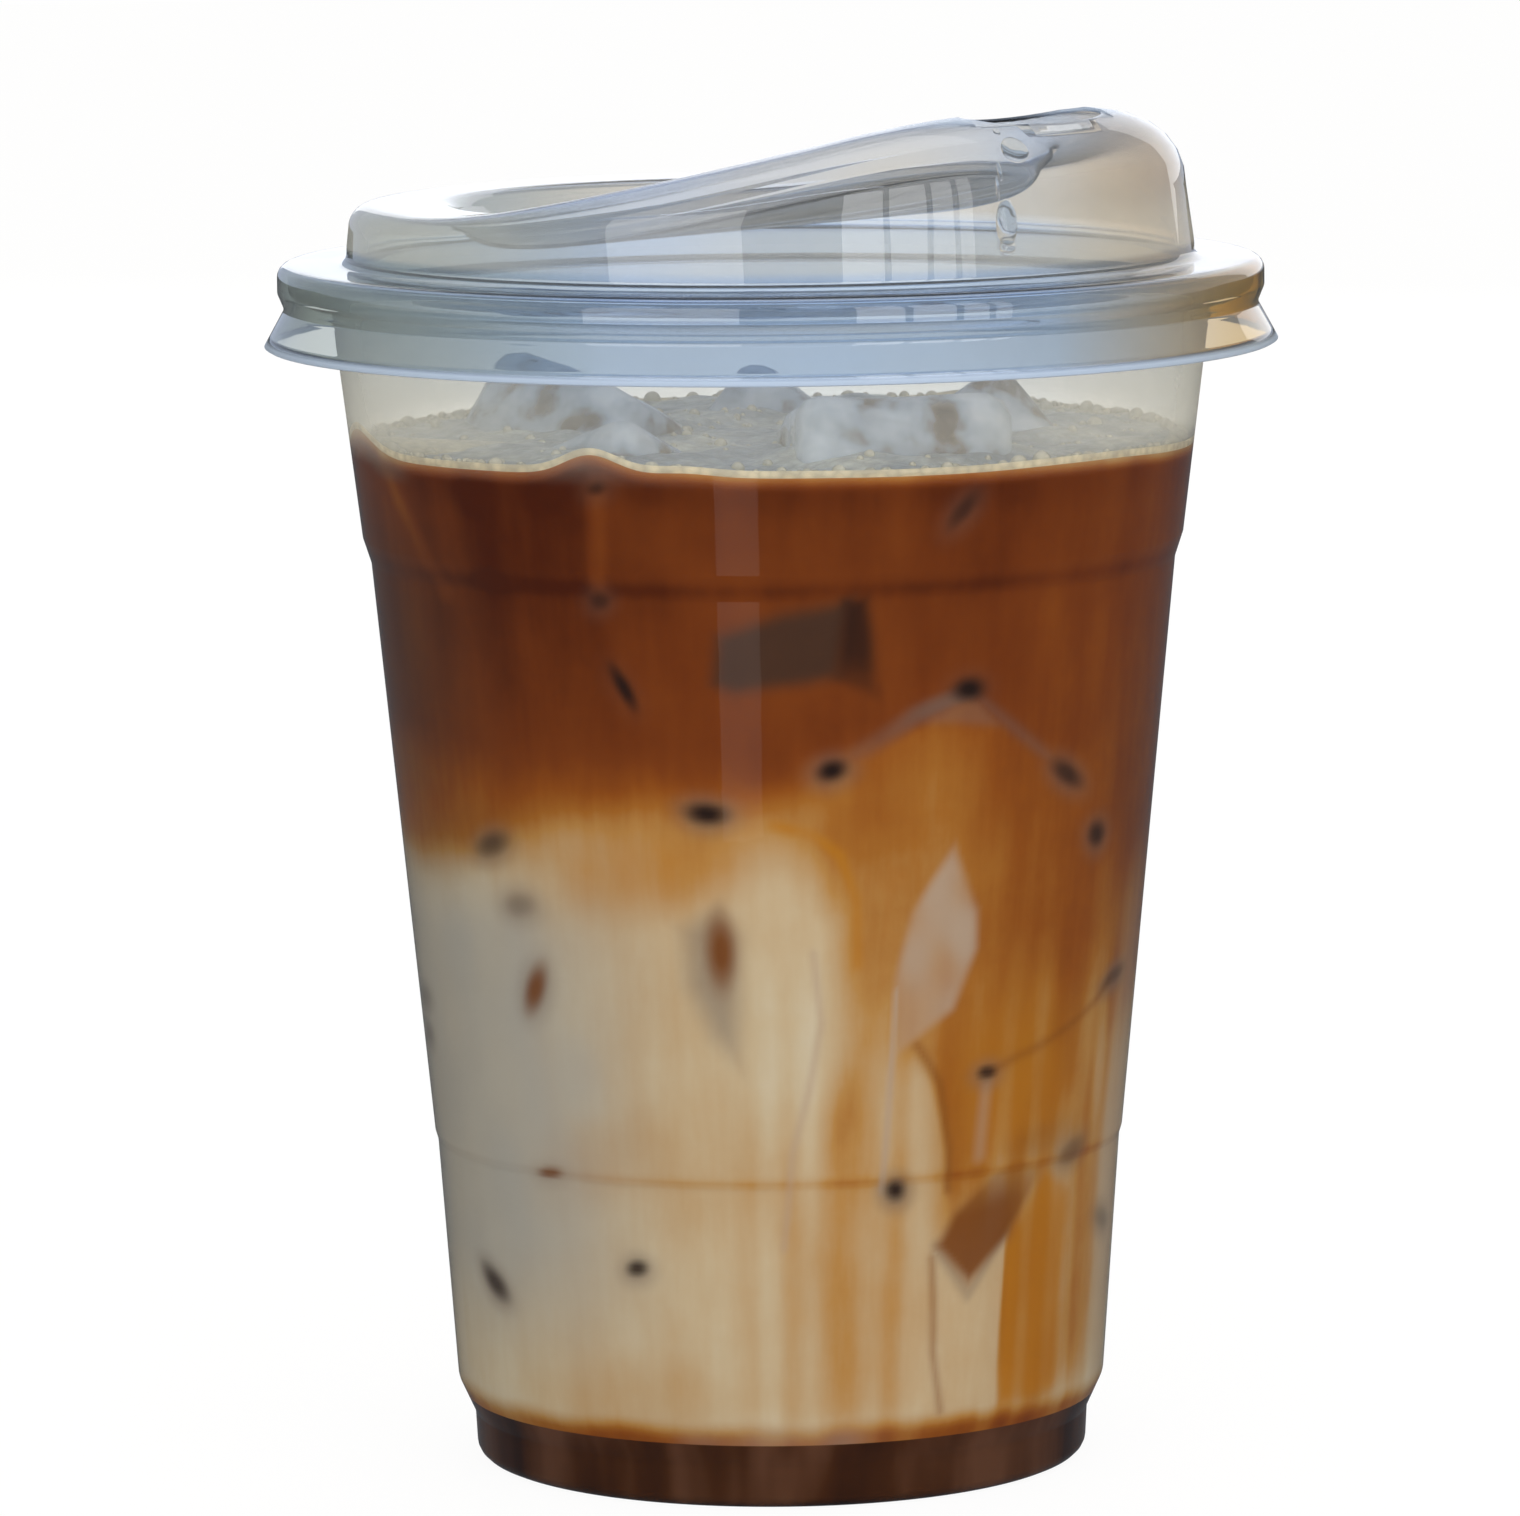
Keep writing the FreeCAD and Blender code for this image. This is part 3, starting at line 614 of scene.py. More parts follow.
def far_tips():
    """Tips of ice on the far side of the cup, scattered with a fixed seed."""
    dice = np.random.default_rng(FAR_SEED)
    rows = []
    for level in np.linspace(16.0, 92.0, 17):
        place = dice.uniform(100.0, 262.0)
        wide, tall = dice.uniform(0.9, 2.4), dice.uniform(0.7, 1.8)
        dark = dice.uniform(0.3, 1.0)
        ember = 0.9 * float(dice.random() < 0.25)
        rows.append((place, level + dice.uniform(-2.0, 2.0), wide, tall,
                     dice.uniform(-60.0, 60.0), dark * (1.0 - ember), ember, 0.7))
    return rows


# What the tints are made of: strength, form and the form's own sizes, which are those
# of spot(), or the corners of facet() and its softness, or the path of ribbon(), its
# width and its softness.
MARKS = {
    "gold": [
        (0.75, spot, 43.0, 43.0, 8.0, 8.0, -10.0, 0.8),
        (0.85, facet, [(41.5, 9.0), (56.0, 10.0), (57.0, 30.0), (50.0, 33.0), (41.0, 25.0)], 1.0),
        (0.8, ribbon, [(0.0, 70.5), (5.0, 69.6), (9.0, 67.5), (11.5, 63.5), (12.0, 57.0)],
         0.55, 0.5),
        (0.45, spot, -18.0, 66.0, 8.0, 3.6, 8.0, 0.8),
    ],
    # Painted shade: a grey patch on the bare milk at the left.
    "cool": [(0.75, spot, -36.0, 45.0, 5.0, 9.0, 10.0, 0.8)],
    "smoke": [
        (0.7, spot, -74.0, 86.0, 15.0, 16.0, 0.0, 0.8),
        (0.3, spot, -70.0, 69.0, 14.0, 6.0, 0.0, 0.8),
        (0.3, spot, 76.0, 74.0, 9.0, 22.0, 0.0, 0.8),
        (0.95, facet, [(-8.4, 85.4), (-3.0, 84.0), (5.0, 85.6), (9.0, 86.0), (10.0, 94.0),
                       (1.0, 92.4), (-7.6, 90.2)], 1.2),
    ],
    "leaf": [
        (1.0, facet, [(18.3, 47.2), (28.0, 51.2), (31.6, 57.0), (31.4, 61.0), (26.8, 67.6),
                      (20.6, 61.5), (18.2, 55.0)], 0.8),
    ],
    "rose": [
        (0.8, ribbon, [(18.4, 54.0), (17.5, 44.0), (16.9, 33.0)], 0.35, 0.35),
        (0.6, ribbon, [(5.0, 58.0), (6.4, 51.0), (4.5, 44.0), (1.8, 37.0), (0.6, 27.0)],
         0.35, 0.5),
        (0.55, spot, 76.0, 34.0, 5.0, 22.0, 0.0, 0.7),
        (0.4, ribbon, [(35.6, 43.0), (35.0, 36.0)], 0.7, 0.8),
    ],
    "edge": [(1.0, ribbon, [(9.0, 76.6), (20.0, 81.4), (28.5, 83.4)], 0.9, 0.9)],
    "halo": [
        (0.3, ribbon, [(30.0, 83.2), (40.0, 78.5), (49.0, 74.4)], 0.6, 0.8),
        (0.35, facet, [(20.0, 80.4), (34.0, 80.4), (29.0, 83.8)], 0.8),
        (0.55, facet, [(-10.0, 49.0), (-6.6, 47.0), (-6.4, 59.0), (-9.0, 62.0), (-14.0, 60.0),
                       (-14.0, 54.0)], 1.8),
        (0.45, spot, -64.5, 105.6, 3.6, 1.2, -6.0, 0.7),
        (0.4, ribbon, [(27.0, 27.2), (33.5, 21.6), (40.8, 27.0)], 0.6, 0.7),
    ],
    "dark": [
        (0.85, facet, [(8.6, 86.0), (14.6, 84.0), (13.6, 90.0), (12.4, 94.2), (9.0, 94.0)], 1.0),
    ],
    "ember": [
        (0.95, facet, [(27.2, 27.2), (33.4, 22.9), (40.8, 26.2), (50.0, 34.0), (51.0, 37.5),
                       (38.0, 33.6), (30.5, 30.5)], 0.9),
    ],
    "seams": [
        (0.55, ribbon, [(22.0, 47.8), (26.5, 43.5), (29.0, 37.0), (29.2, 33.0)], 0.5, 0.6),
        (0.45, ribbon, [(36.5, 44.2), (50.0, 47.6), (66.0, 51.2)], 0.4, 0.6),
        (0.5, ribbon, [(26.2, 26.0), (27.0, 16.0), (29.2, 9.4)], 0.45, 0.6),
        (0.3, spot, 48.5, 36.5, 5.0, 1.8, 12.0, 0.8),
    ],
    "trails": [
        (0.14, ribbon, [(-65.0, 106.0), (-59.0, 100.0), (-53.5, 93.0)], 1.0, 0.9),
        (0.14, ribbon, [(-24.4, 105.0), (-25.2, 95.0)], 0.9, 0.8),
    ],
    "roof": [
        (0.85, facet, [(6.0, 58.0), (50.5, 58.0), (49.8, 73.8), (28.5, 83.2), (8.4, 75.6)], 0.9),
    ],
    "face": [(1.0, facet, [(29.6, 9.4), (40.9, 9.0), (40.9, 26.6), (26.2, 26.8)], 0.4)],
    "notch": [(1.0, facet, [(27.6, 27.6), (33.4, 22.2), (40.6, 27.2)], 0.5)],
}


def laid(key, bearing, height):
    """The strongest of a tint's marks at each place."""
    most = np.zeros(np.broadcast(bearing, height).shape)
    for strength, form, *sizes in MARKS[key]:
        most = np.maximum(most, strength * form(bearing, height, *sizes))
    return most


def brewed(bearing, height, b, z):
    """Strength of the coffee at each place, from 0 for milk to 1.

    b and z are the bearing and height pushed a little about, so that edges wander.
    """
    streak = drift(bearing, height, 13, 60, 0.015, 12)
    cloud = drift(bearing, height, 14, 9, 0.09)
    wisp = drift(bearing, height, 15, 26, 0.22, 12)

    # Coffee floats on the milk: the boundary dips and frays round the cup.
    boundary = 69.5 + 1.5 * cloud + 1.2 * wisp * smooth_step(8.0, 3.0, np.abs(z - 70.0))
    depth = z - boundary
    brew = (0.03 + 0.11 * smooth_step(-45.0, -20.0, -np.abs(bearing + 6.0) + 12.0)
            + 0.40 * smooth_step(-7.0, 2.0, depth)
            + 0.26 * smooth_step(0.0, 11.0, depth) + 0.06 * smooth_step(10.0, 30.0, depth))
    far_side = smooth_step(95.0, 120.0, np.abs(bearing)) * smooth_step(8.0, -4.0, depth)
    brew = brew + 0.30 * far_side * smooth_step(-0.1, 0.9, cloud + 0.4 * streak)
    for place, level, wide, tall, lean, strength, cover, soft in SWIRLS:
        share = cover * spot(b, z, place, level, wide, tall, lean, soft)
        brew = brew * (1.0 - share) + strength * share

    # The warm field under the ice's roof line, then streaks, finer above.
    roof = smooth_step(60.0, 72.0, z) * laid("roof", b, z)
    under = 0.52 + 0.12 * smooth_step(30.0, 42.0, b) + 0.08 * smooth_step(72.0, 82.0, z)
    brew = brew * (1.0 - roof) + roof * under
    low = smooth_step(62.0, 44.0, z) * smooth_step(-14.0, 0.0, b) * smooth_step(110.0, 70.0, b)
    brew = brew + 0.075 * streak * low + 0.025 * wisp
    threads = drift(bearing, height, 16, 40, 0.01, 10)
    brew = brew + 0.035 * threads * smooth_step(78.0, 90.0, z)

    # The dark top: darker towards the left, lighter in the middle and at the foam.
    left = smooth_step(-12.0, -38.0, bearing) * smooth_step(-62.0, -54.0, bearing)
    brew = brew + 0.09 * left * smooth_step(76.0, 96.0, z)
    brew = brew - 0.05 * spot(b, z, 15.0, 90.0, 20.0, 12.0, 0.0, 0.9)
    brew = brew - laid("trails", b, z)
    below = contact(bearing) - height
    brew = brew + 0.06 * smooth_step(6.0, 2.0, below) - 0.42 * smooth_step(1.7, 0.1, below)

    # Syrup clouds the foot, and painted shade darkens the drink along each of the cup's step lines.
    brew = brew + 0.45 * smooth_step(9.6, 6.9, z) + 0.06 * cloud * smooth_step(12.0, 8.0, z)
    for level, wide in STEP_LINE_SHADE:
        brew = brew + 0.10 * np.exp(-((height - level) / wide) ** 2)
    return brew, streak, wisp


def paint(bearing, height):
    """How much coffee, gold, painted grey shade, rose, halo, ember and dark show at each place."""
    b = bearing + 0.7 * drift(bearing, height, 11, 9, 0.16)
    z = height + 0.5 * drift(bearing, height, 12, 16, 0.2)
    brew, streak, wisp = brewed(bearing, height, b, z)
    gold = laid("gold", b, z) * (0.75 + 0.25 * streak)

    # Bare milk at the left, greyed by painted shade towards the left flank; it fades out towards the
    # far side.
    cool = 0.92 * smooth_step(-12.0, -50.0, b) * smooth_step(-176.0, -110.0, b)
    cool = cool * smooth_step(67.0, 57.0, z) * smooth_step(9.0, 27.0, z)
    cool = np.maximum(cool, laid("cool", b, z)) * (0.9 + 0.1 * wisp)

    # Pale mixed milk: the leaf of ice, thin runs, and a soft glow over the syrup.
    rose = laid("leaf", b, z) * (0.68 + 0.3 * drift(bearing, height, 17, 50, 0.35, 14))
    glow = smooth_step(10.0, 7.6, z) * smooth_step(-30.0, -4.0, b) * smooth_step(30.0, 10.0, b)
    rose = np.maximum(np.maximum(rose, laid("rose", b, z)), 0.5 * glow * (0.6 + 0.5 * wisp))

    # Faces and edges of sunk ice that lie against the wall.
    halo = (0.25 + 0.35 * smooth_step(14.0, 24.0, b)) * laid("edge", b, z)
    halo = np.maximum(halo, laid("halo", b, z))
    dark = laid("dark", b, z) * (0.5 + 0.5 * smooth_step(84.0, 89.0, z))
    ember = laid("ember", b, z) * (0.3 + 0.7 * smooth_step(52.0, 40.0, b))
    ember = np.maximum(ember * smooth_step(36.5, 29.5, z), laid("seams", b, z))
    for place, level, wide, tall, lean, black, brown, grey in TIPS + far_tips():
        core = spot(b, z, place, level, wide, tall, lean, 0.75)
        dark = np.maximum(dark, black * core)
        ember = np.maximum(ember, brown * core)
        grey = grey * (0.25 if level > 80.0 else 0.75)
        around = spot(b, z, place, level - 0.2, wide + 0.9, tall + 0.8, lean, 0.8)
        halo = np.maximum(halo, grey * around)

    # A pale face of ice under the brown arrow, with a sharp side.
    face = laid("face", b, z) * (1.0 - laid("notch", b, z))
    brew = brew * (1.0 - face) + 0.16 * face
    return {"brew": np.clip(brew, 0.0, 1.0), "gold": gold * (1.0 - face), "cool": cool,
            "rose": rose, "smoke": laid("smoke", b, z), "halo": halo, "ember": ember,
            "dark": dark}


def drink_side(name, low, high, rows, columns, material, nodes):
    """A layer of the drink between two levels, painted by bearing and height.

    low and high are levels for each bearing. The side follows the cup's inside; flat
    fans close the top and bottom at the same levels.
    """
    angle = round_turn(columns)
    bearing = bearing_of(angle)
    bottom, top = low(bearing), high(bearing)
    share = np.linspace(0.0, 1.0, rows)[:, None]
    heights = bottom + (top - bottom) * share
    radius = liquid_radius(heights)
    under_top = np.full((1, columns), top.min() - 1.0)
    heights = np.vstack([bottom[None], heights, under_top, under_top])
    radius = np.vstack([0.0 * bottom[None], radius, radius[-1:] - 0.8, 0.0 * under_top])
    grid = np.stack([radius * np.cos(angle), radius * np.sin(angle), heights], axis=-1)
    marks = paint(bearing[None] + 0.0 * heights, heights)
    return build(name, grid, material, nodes, poles=(True, True), marks=marks)


def syrup_layer(material):
    """Caramel syrup: fills the foot ring and covers the pushed-up base."""
    base = INSIDE_LINE[:np.argmax(INSIDE_LINE[:, 1] > SYRUP_LEDGE)] - [0.0, PET_LAP]
    base[1:, 0] += PET_LAP
    top = [[liquid_radius(SYRUP_TOP), SYRUP_TOP], [0.0, SYRUP_TOP]]
    line = np.vstack([base, top])
    return build("caramel_syrup", turned(refined(line, 1.0), 256), material,
                 ["caramel"], poles=(True, True))


# Colour of the drink from milk to strong coffee, and of what tints it, in that order.
BREW = [(0.0, "#c1b59f"), (0.12, "#baa789"), (0.24, "#b29670"), (0.36, "#ab8149"),
        (0.48, "#9b6427"), (0.60, "#8a4c17"), (0.72, "#763b13"), (0.82, "#6a320f"),
        (0.92, "#58260a"), (1.0, "#481b06")]
# The grey #a19e98 is painted shade on the bare milk at the left.
TINTS = {"gold": "#a96f1c", "cool": "#a19e98", "rose": "#a8937f", "smoke": "#432e22",
         "halo": "#6f6259", "ember": "#75431a", "dark": "#241712"}


def latte(name):
    """Milk coffee behind the clear wall: even, matt, coloured by how much coffee is in it."""
    material, tree, place = fresh_material(name)
    tall = node(tree, "ShaderNodeMapping", {"Scale": (1.0, 1.0, 0.12)}, Vector=place)
    threads = node(tree, "ShaderNodeTexNoise",
                   {"Scale": 520.0, "Detail": 3.0, "Roughness": 0.55}, Vector=tall)
    curds = node(tree, "ShaderNodeTexNoise",
                 {"Scale": 160.0, "Detail": 4.0, "Roughness": 0.6}, Vector=place)
    both = node(tree, "ShaderNodeMath", {"operation": "ADD"}, i0=threads, i1=curds)
    swing = node(tree, "ShaderNodeMapRange",
                 {"From Min": 0.7, "From Max": 1.3, "To Min": -0.035, "To Max": 0.035},
                 Value=both)
    mark = node(tree, "ShaderNodeAttribute", {"attribute_name": "brew"}).outputs["Fac"]
    brew = node(tree, "ShaderNodeMath", {"operation": "ADD"}, i0=mark, i1=swing)
    shade = node(tree, "ShaderNodeValToRGB", {"stops": BREW}, Fac=brew).outputs["Color"]
    for key, code in TINTS.items():
        mark = node(tree, "ShaderNodeAttribute", {"attribute_name": key}).outputs["Fac"]
        shade = node(tree, "ShaderNodeMix", {"data_type": "RGBA", "7": colour(code)},
                     Factor=mark, i6=shade).outputs[2]
    body = node(tree, "ShaderNodeBsdfPrincipled", {"Roughness": 0.6, "Specular IOR Level": 0.0},
                Base_Color=shade)
    return finished(material, tree, body)


# Cubes that stand out of the drink: angle from +X and distance of the centre, its height,
# yaw, pitch and roll, and the three sides as shares of the size. Melting rounds a cube by
# a share of its least half side, waves its faces and takes a little off, in mm.
ICE_SIZE = 22.0
MELT_ROUND, MELT_WAVE, MELT_LOSS = 0.28, 0.14, 0.2
FLOATING_ICE = [
    (7.0, 22.1, 96.5, 16.0, -34.0, -32.0, (1.00, 0.92, 0.99)),
    (87.0, 26.1, 96.9, 63.0, 25.0, 33.0, (0.95, 0.90, 0.92)),
    (159.0, 21.4, 98.8, 48.0, 28.0, 13.0, (1.04, 1.03, 1.05)),
    (232.0, 25.0, 95.9, 43.0, 25.0, -22.0, (0.93, 0.86, 0.91)),
    (300.0, 24.0, 100.4, 7.0, 2.0, -15.0, (1.00, 0.94, 0.98)),
]


# ---------------------------------------------------------------- foam

def ice_nearness(x, y):
    """How close a place on the foam is to a floating cube, from 0 to 1."""
    near = np.zeros(np.broadcast(x, y).shape)
    for bearing, reach, *_ in FLOATING_ICE:
        angle = math.radians(bearing)
        away = np.hypot(x - reach * math.cos(angle), y - reach * math.sin(angle))
        near = np.maximum(near, 1.0 - smooth_step(10.0, 17.0, away))
    return near


def foam_height(x, y):
    """Height of the foam: a flat sheet that climbs the wall and the ice a little."""
    bearing = np.degrees(np.arctan2(x, -y))
    radius = np.hypot(x, y)
    wall = liquid_radius(contact(bearing))
    swell = (0.35 * np.sin(0.31 * x + 1.1) * np.cos(0.27 * y - 0.4)
             + 0.2 * np.sin(0.62 * x - 0.5 * y) + 0.12 * np.sin(1.3 * y + 0.9 * x))
    climb = np.exp(-np.clip(wall - radius, 0.0, None) / 1.6)
    level = FOAM_TOP + swell + 0.9 * ice_nearness(x, y)
    return level * (1.0 - climb) + (contact(bearing) + 0.55) * climb


# The rim that turns down the wall: reach past the liquid, and height from its edge.
FOAM_RIM = [(0.05, 0.45), (0.02, -0.15), (-0.6, -0.9)]


def foam_skin(material):
    """Foam on the coffee: a wavy top that turns down the wall in a cream rim."""
    angle = round_turn(480)
    edge = contact(bearing_of(angle))
    wall = liquid_radius(edge)
    share = np.concatenate([np.linspace(0.0, 0.9, 70), np.linspace(0.905, 1.0, 30)])[:, None]
    radius = np.vstack([share * (wall - 0.02)] + [wall + lap for lap, _ in FOAM_RIM] + [0.0 * wall])
    x, y = radius * np.cos(angle), radius * np.sin(angle)
    height = foam_height(x, y)
    for row, (_, lift) in zip((-4, -3, -2), FOAM_RIM):
        height[row] = edge + lift
    height[-1] = FOAM_UNDER
    grid = np.stack([x, y, height], axis=-1)
    rim = smooth_step(2.6, 0.5, wall - radius)
    return build("foam_skin", grid, material, ["foam"], flip=True,
                 poles=(True, True), marks={"rim": rim})


BUBBLES, BUBBLE_SEED, BUBBLE_LEAST, BUBBLE_MOST = 620, 7, 0.16, 0.95


def bubbles(material):
    """Small domes on the foam, thick along the wall and round the ice.

    Each is a low ball cap: eight columns and four rows, set on the foam's height.
    """
    dice = np.random.default_rng(BUBBLE_SEED)
    count, rows, columns = BUBBLES, 5, 8
    bearing = dice.uniform(-180.0, 180.0, count)
    wall = liquid_radius(contact(bearing))
    inward = np.where(dice.random(count) < 0.6, dice.exponential(0.9, count) + 0.45,
                      dice.uniform(1.0, 34.0, count))
    size = np.clip(dice.lognormal(-1.05, 0.45, count), BUBBLE_LEAST, BUBBLE_MOST)
    reach = wall - np.maximum(inward, size + 0.1)
    place = np.radians(bearing)
    x, y = reach * np.sin(place), -reach * np.cos(place)
    base = foam_height(x, y)
    turn = round_turn(columns)
    tilt = np.linspace(0.0, 0.62 * math.pi, rows)[:, None]
    unit = np.stack([np.sin(tilt) * np.cos(turn), np.sin(tilt) * np.sin(turn),
                     np.cos(tilt) + 0.0 * turn], axis=-1).reshape(-1, 3)
    centres = np.stack([x, y, base], axis=-1)
    points = (centres[:, None] + unit[None] * size[:, None, None]).reshape(-1, 3)
    shapes = dome_faces(rows, columns, count)
    return piece("foam_bubbles", points, shapes.tolist(), material)


def milk_foam(name):
    """Thin milk foam: matt cream bubbles with wet blue-grey patches where it is thin."""
    material, tree, place = fresh_material(name)
    patches = node(tree, "ShaderNodeTexNoise", {"Scale": 95.0, "Detail": 5.0, "Roughness": 0.62},
                   Vector=place)
    ramp = node(tree, "ShaderNodeValToRGB",
                {"stops": [(0.36, "#80858a"), (0.47, "#9c9f9f"), (0.56, "#aeada5"),
                           (0.66, "#c6c2b4")]}, Fac=patches)
    rim = node(tree, "ShaderNodeAttribute", {"attribute_name": "rim"}).outputs["Fac"]
    cream = node(tree, "ShaderNodeMix", {"data_type": "RGBA", "7": colour("#cdbf9f")},
                 Factor=rim, i6=ramp).outputs[2]
    cells = node(tree, "ShaderNodeTexVoronoi", {"Scale": 900.0}, Vector=place)
    pits = node(tree, "ShaderNodeMapRange", {"From Min": 0.2, "From Max": 0.75, "To Max": 0.4},
                Value=cells)
    wet = node(tree, "ShaderNodeMix", {"data_type": "RGBA", "7": colour("#6d6a66")},
               Factor=pits, i6=cream).outputs[2]
    bump = node(tree, "ShaderNodeBump", {"Strength": 0.5, "Distance": 0.3 * MM}, Height=cells)
    body = node(tree, "ShaderNodeBsdfPrincipled", {"Roughness": 0.35, "IOR": 1.33},
                Base_Color=wet, Normal=bump)
    return finished(material, tree, body)


def bubble_film(name):
    """Foam bubbles: a thin wet film, half clear, that catches small bright points."""
    material, tree, _ = fresh_material(name)
    film = node(tree, "ShaderNodeBsdfPrincipled",
                {"Base Color": colour("#cfc6b0"), "Roughness": 0.12, "IOR": 1.33,
                 "Transmission Weight": 0.35})
    return finished(material, tree, film)


# ---------------------------------------------------------------- ice

def ice_cube(name, centre, half, turn, seed, material, nodes=(), count=14):
    """A melted ice cube: a box grown by a round edge, with a slow uneven surface.

    Each point of a unit cube's skin goes to the nearest point of a smaller box,
    then outwards by the rounding; low waves make the faces uneven.
    """
    steps = np.tan(np.linspace(-1.0, 1.0, count) * math.pi / 4)
    a, b = np.meshgrid(steps, steps, indexing="ij")
    one = np.ones_like(a)
    sides = [(one, a, b), (-one, b, a), (b, one, a), (a, -one, b), (a, b, one), (b, a, -one)]
    skin = np.concatenate([np.stack(side, axis=-1).reshape(-1, 3) for side in sides])
    half = np.asarray(half, float)
    rounding = MELT_ROUND * half.min()
    core = np.clip(skin * half, rounding - half, half - rounding)
    away = skin * half - core
    away /= np.linalg.norm(away, axis=1)[:, None]
    dice = np.random.default_rng(seed)
    waves = sum(np.sin(skin @ dice.normal(size=3) * 2.6 + dice.uniform(0, 6)) for _ in range(4))
    points = core + away * (rounding + MELT_WAVE * waves[:, None] - MELT_LOSS)
    index = np.arange(count * count).reshape(count, count)
    quads = np.stack([index[:-1, :-1], index[1:, :-1], index[1:, 1:], index[:-1, 1:]], axis=-1)
    quads = quads.reshape(-1, 4)
    shapes = np.concatenate([quads + k * count * count for k in range(6)])
    _, first, again = np.unique(np.round(points, 4), axis=0, return_index=True,
                                return_inverse=True)
    points, shapes = points[first], again.reshape(-1)[shapes]
    return piece(name, centre + points @ turn.T, shapes.tolist(), material, nodes)


def rotation(yaw, pitch, roll):
    """Roll about X, then pitch about Y, then yaw about Z, in degrees."""
    (cy, cp, cr), (sy, sp, sr) = [
        [f(math.radians(v)) for v in (yaw, pitch, roll)] for f in (math.cos, math.sin)]
    about_z = np.array([[cy, -sy, 0], [sy, cy, 0], [0, 0, 1]])
    about_y = np.array([[cp, 0, sp], [0, 1, 0], [-sp, 0, cp]])
    about_x = np.array([[1, 0, 0], [0, cr, -sr], [0, sr, cr]])
    return about_z @ about_y @ about_x


# Drops on the lid: bearing, height, half width and half height in mm, and swell as a
# share of the greatest.
WALL_DROPS = [
    (35.6, 137.5, 1.6, 1.25, 1.2), (32.6, 130.5, 1.25, 2.4, 1.2),
    (32.6, 128.2, 0.95, 0.9, 1.0), (32.2, 135.6, 0.26, 1.0, 0.3),
    (31.5, 133.9, 0.22, 1.2, 0.25), (34.0, 139.3, 0.4, 0.35, 0.35),
]
DROP_SWELL, DROP_GAP = 0.45, 0.04


def lid_skin_radius(bearing, height):
    """Radius of the lid's outer skin: its cone, drawn in by the crown's arc near the top."""
    ahead = np.cos(np.radians(bearing) - 0.5 * math.pi - SPOUT_TURN)
    top = ridge_height(MOUND_TOP * ahead)
    over = np.clip((height - top) / CROWN_HIGH_ROUND + 1.0, 0.0, 0.98)
    return mound_radius(height) - CROWN_HIGH_ROUND * (1.0 - np.sqrt(1.0 - over ** 2))


def lid_drops(material):
    """Drops of water on the front wall of the lid: low domes on its cone.

    Each is a dome over an ellipse, its centre at a bearing and height, half width,
    half height and swell in mm, heavier towards its lower end.
    """
    rows, columns = 9, 24
    turn = round_turn(columns)
    tilt = np.linspace(0.0, math.pi / 2, rows)[:, None]
    points = []
    for bearing, level, wide, tall, swell in WALL_DROPS:
        aside = wide * np.sin(tilt) * np.cos(turn)
        rise = tall * np.sin(tilt) * np.sin(turn)
        height = level + rise
        skin = lid_skin_radius(bearing, height)
        bulge = swell * DROP_SWELL * np.cos(tilt) * (1.0 - 0.4 * rise / tall)
        reach = skin + DROP_GAP + bulge
        around = math.radians(bearing) + aside / skin
        points.append(np.stack([reach * np.sin(around), -reach * np.cos(around), height],
                               axis=-1).reshape(-1, 3))
    shapes = dome_faces(rows, columns, len(WALL_DROPS))
    return piece("lid_water_drops", np.concatenate(points), shapes.tolist(), material)


def clear_water(name):
    """Condensed water: clear, very smooth, a small lens that turns the light behind it."""
    material, tree, place = fresh_material(name)
    ripple = node(tree, "ShaderNodeTexNoise", {"Scale": 600.0, "Detail": 1.0}, Vector=place)
    bump = node(tree, "ShaderNodeBump", {"Strength": 0.25, "Distance": 0.3 * MM}, Height=ripple)
    water = node(tree, "ShaderNodeBsdfPrincipled",
                 {"Base Color": colour("#e4e6e8"), "Roughness": 0.03, "IOR": 1.333,
                  "Transmission Weight": 1.0}, Normal=bump)
    return finished(material, tree, lamps_pass(tree, water, "#f4f6f8"))


def wet_ice(name):
    """Melting cube ice: clear wet skin, cloudy white inside, stained by coffee below."""
    material, tree, place = fresh_material(name)
    cloud = node(tree, "ShaderNodeTexNoise", {"Scale": 130.0, "Detail": 4.0}, Vector=place)
    ramp = node(tree, "ShaderNodeValToRGB",
                {"stops": [(0.33, "#4b2b16"), (0.42, "#8b7767"), (0.49, "#c3cbd6"),
                           (0.62, "#f6faff")]}, Fac=cloud)
    waves = node(tree, "ShaderNodeTexNoise", {"Scale": 210.0, "Detail": 2.0}, Vector=place)
    bump = node(tree, "ShaderNodeBump", {"Strength": 0.35, "Distance": 1.2 * MM}, Height=waves)
    ice = node(tree, "ShaderNodeBsdfPrincipled",
               {"Roughness": 0.08, "IOR": 1.31, "Transmission Weight": 0.6},
               Base_Color=ramp, Normal=bump)
    return finished(material, tree, lamps_pass(tree, ice, "#b8bec4"))


def floating_ice(material):
    """The cubes that stand out of the drink, each in the place of its node."""
    for number, (bearing, reach, height, yaw, pitch, roll, shares) in enumerate(FLOATING_ICE, 1):
        angle = math.radians(bearing)
        centre = np.array([reach * math.cos(angle), reach * math.sin(angle), height])
        half = np.array(shares) * ICE_SIZE / 2
        ice_cube("floating_ice_%d" % number, centre, half, rotation(yaw, pitch, roll),
                 number, material, ["ice_%d" % number])


# ---------------------------------------------------------------- studio

# How bright the surround is for scattered light, and it and the floor in one reflection.
ROOM_LIGHT, ROOM_GLOSS, FLOOR_GLOSS = 1.1, 0.75, 0.15
FLOOR_REACH, FLOOR_GLOW = 3.0, 0.93      # half its side in m, share of its own light

